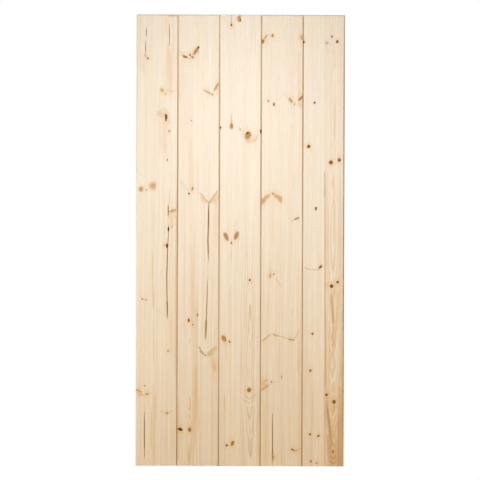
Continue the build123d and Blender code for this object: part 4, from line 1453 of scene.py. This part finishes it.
def floor_finish():
    """A white floor: camera and mirror rays see mostly even white, and the rest is matt white that keeps
    shadows."""
    material = bpy.data.materials.new("white_floor")
    shader = Shader(material)
    surface = shader.tree.nodes["Principled BSDF"]
    surface.inputs["Base Color"].default_value = floor_white
    surface.inputs["Roughness"].default_value = floor_roughness
    glow = shader.node("ShaderNodeEmission", full_white, floor_glow).outputs[0]
    share = shader.math("MULTIPLY", shader.seen_rays(), floor_glow_share)
    mixed = shader.node("ShaderNodeMixShader", share, surface.outputs[0], glow).outputs[0]
    shader.feed(shader.tree.nodes["Material Output"].inputs["Surface"], mixed)
    return material


def make_floor():
    """A square of floor a little below the leaf, which hangs clear of it."""
    half = floor_half_width
    corners = np.array([(-half, -half), (half, -half), (half, half), (-half, half)])
    points = np.column_stack([corners, np.full(len(corners), -floor_drop)])
    mesh = bpy.data.meshes.new("floor")
    mesh.from_pydata(points.tolist(), [], [[0, 1, 2, 3]])
    mesh.materials.append(floor_finish())
    floor = bpy.data.objects.new("floor", mesh)
    bpy.context.scene.collection.objects.link(floor)


def make_world():
    """Soft white surroundings: full white where seen or mirrored, weaker where they only light the leaf."""
    world = bpy.data.worlds.new("surroundings")
    bpy.context.scene.world = world
    shader = Shader(world)
    background = shader.tree.nodes["Background"].inputs
    background["Color"].default_value = full_white
    strength = shader.node("ShaderNodeMapRange", shader.seen_rays(), 0.0, 1.0, world_light, 1.0).outputs[0]
    shader.feed(background["Strength"], strength)


def make_lamp(name, place, target, width, height, power):
    """A softbox: an area lamp aimed at a target, out of the camera's sight."""
    lamp = bpy.data.lights.new(name, "AREA")
    lamp.shape = "RECTANGLE"
    lamp.size = width
    lamp.size_y = height
    lamp.energy = power
    made = bpy.data.objects.new(name, lamp)
    made.visible_camera = False
    made.location = place
    made.rotation_euler = (Vector(target) - Vector(place)).to_track_quat("-Z", "Y").to_euler()
    bpy.context.scene.collection.objects.link(made)


def make_camera():
    """A level camera square to the front face, far enough for the face to fill the photograph's frame."""
    data = bpy.data.cameras.new("camera")
    data.sensor_width = sensor_width
    view_width = photo_size * metres_per_pixel
    data.lens = sensor_width * camera_distance / view_width
    camera = bpy.data.objects.new("camera", data)
    middle_x, middle_z = photo_place(photo_middle, photo_middle)
    camera.location = (middle_x, front_y - camera_distance, middle_z)
    camera.rotation_euler = (math.pi / 2, -math.atan(photo_lean), 0)
    bpy.context.scene.collection.objects.link(camera)
    bpy.context.scene.camera = camera


pine_boards = pine_finish("pine_boards", board_lightness)
pine_ledges = pine_finish("pine_ledges", ledge_lightness)
marks = (knots_in_metres(knots), streaks_in_metres(streaks), lines_in_metres(lines))
staves = [Stave(board, side, *marks) for board in range(board_count) for side in sides]
for stave in staves:
    make_stave(stave, pine_boards)
for number, ledge in enumerate(ledge_names):
    make_ledge(ledge, ledge_seed + number, staves, pine_ledges)
make_screws(staves, screw_finish())

make_floor()
make_world()
for lamp in lamps:
    make_lamp(*lamp)
make_camera()
bpy.context.scene.view_settings.view_transform = "Standard"
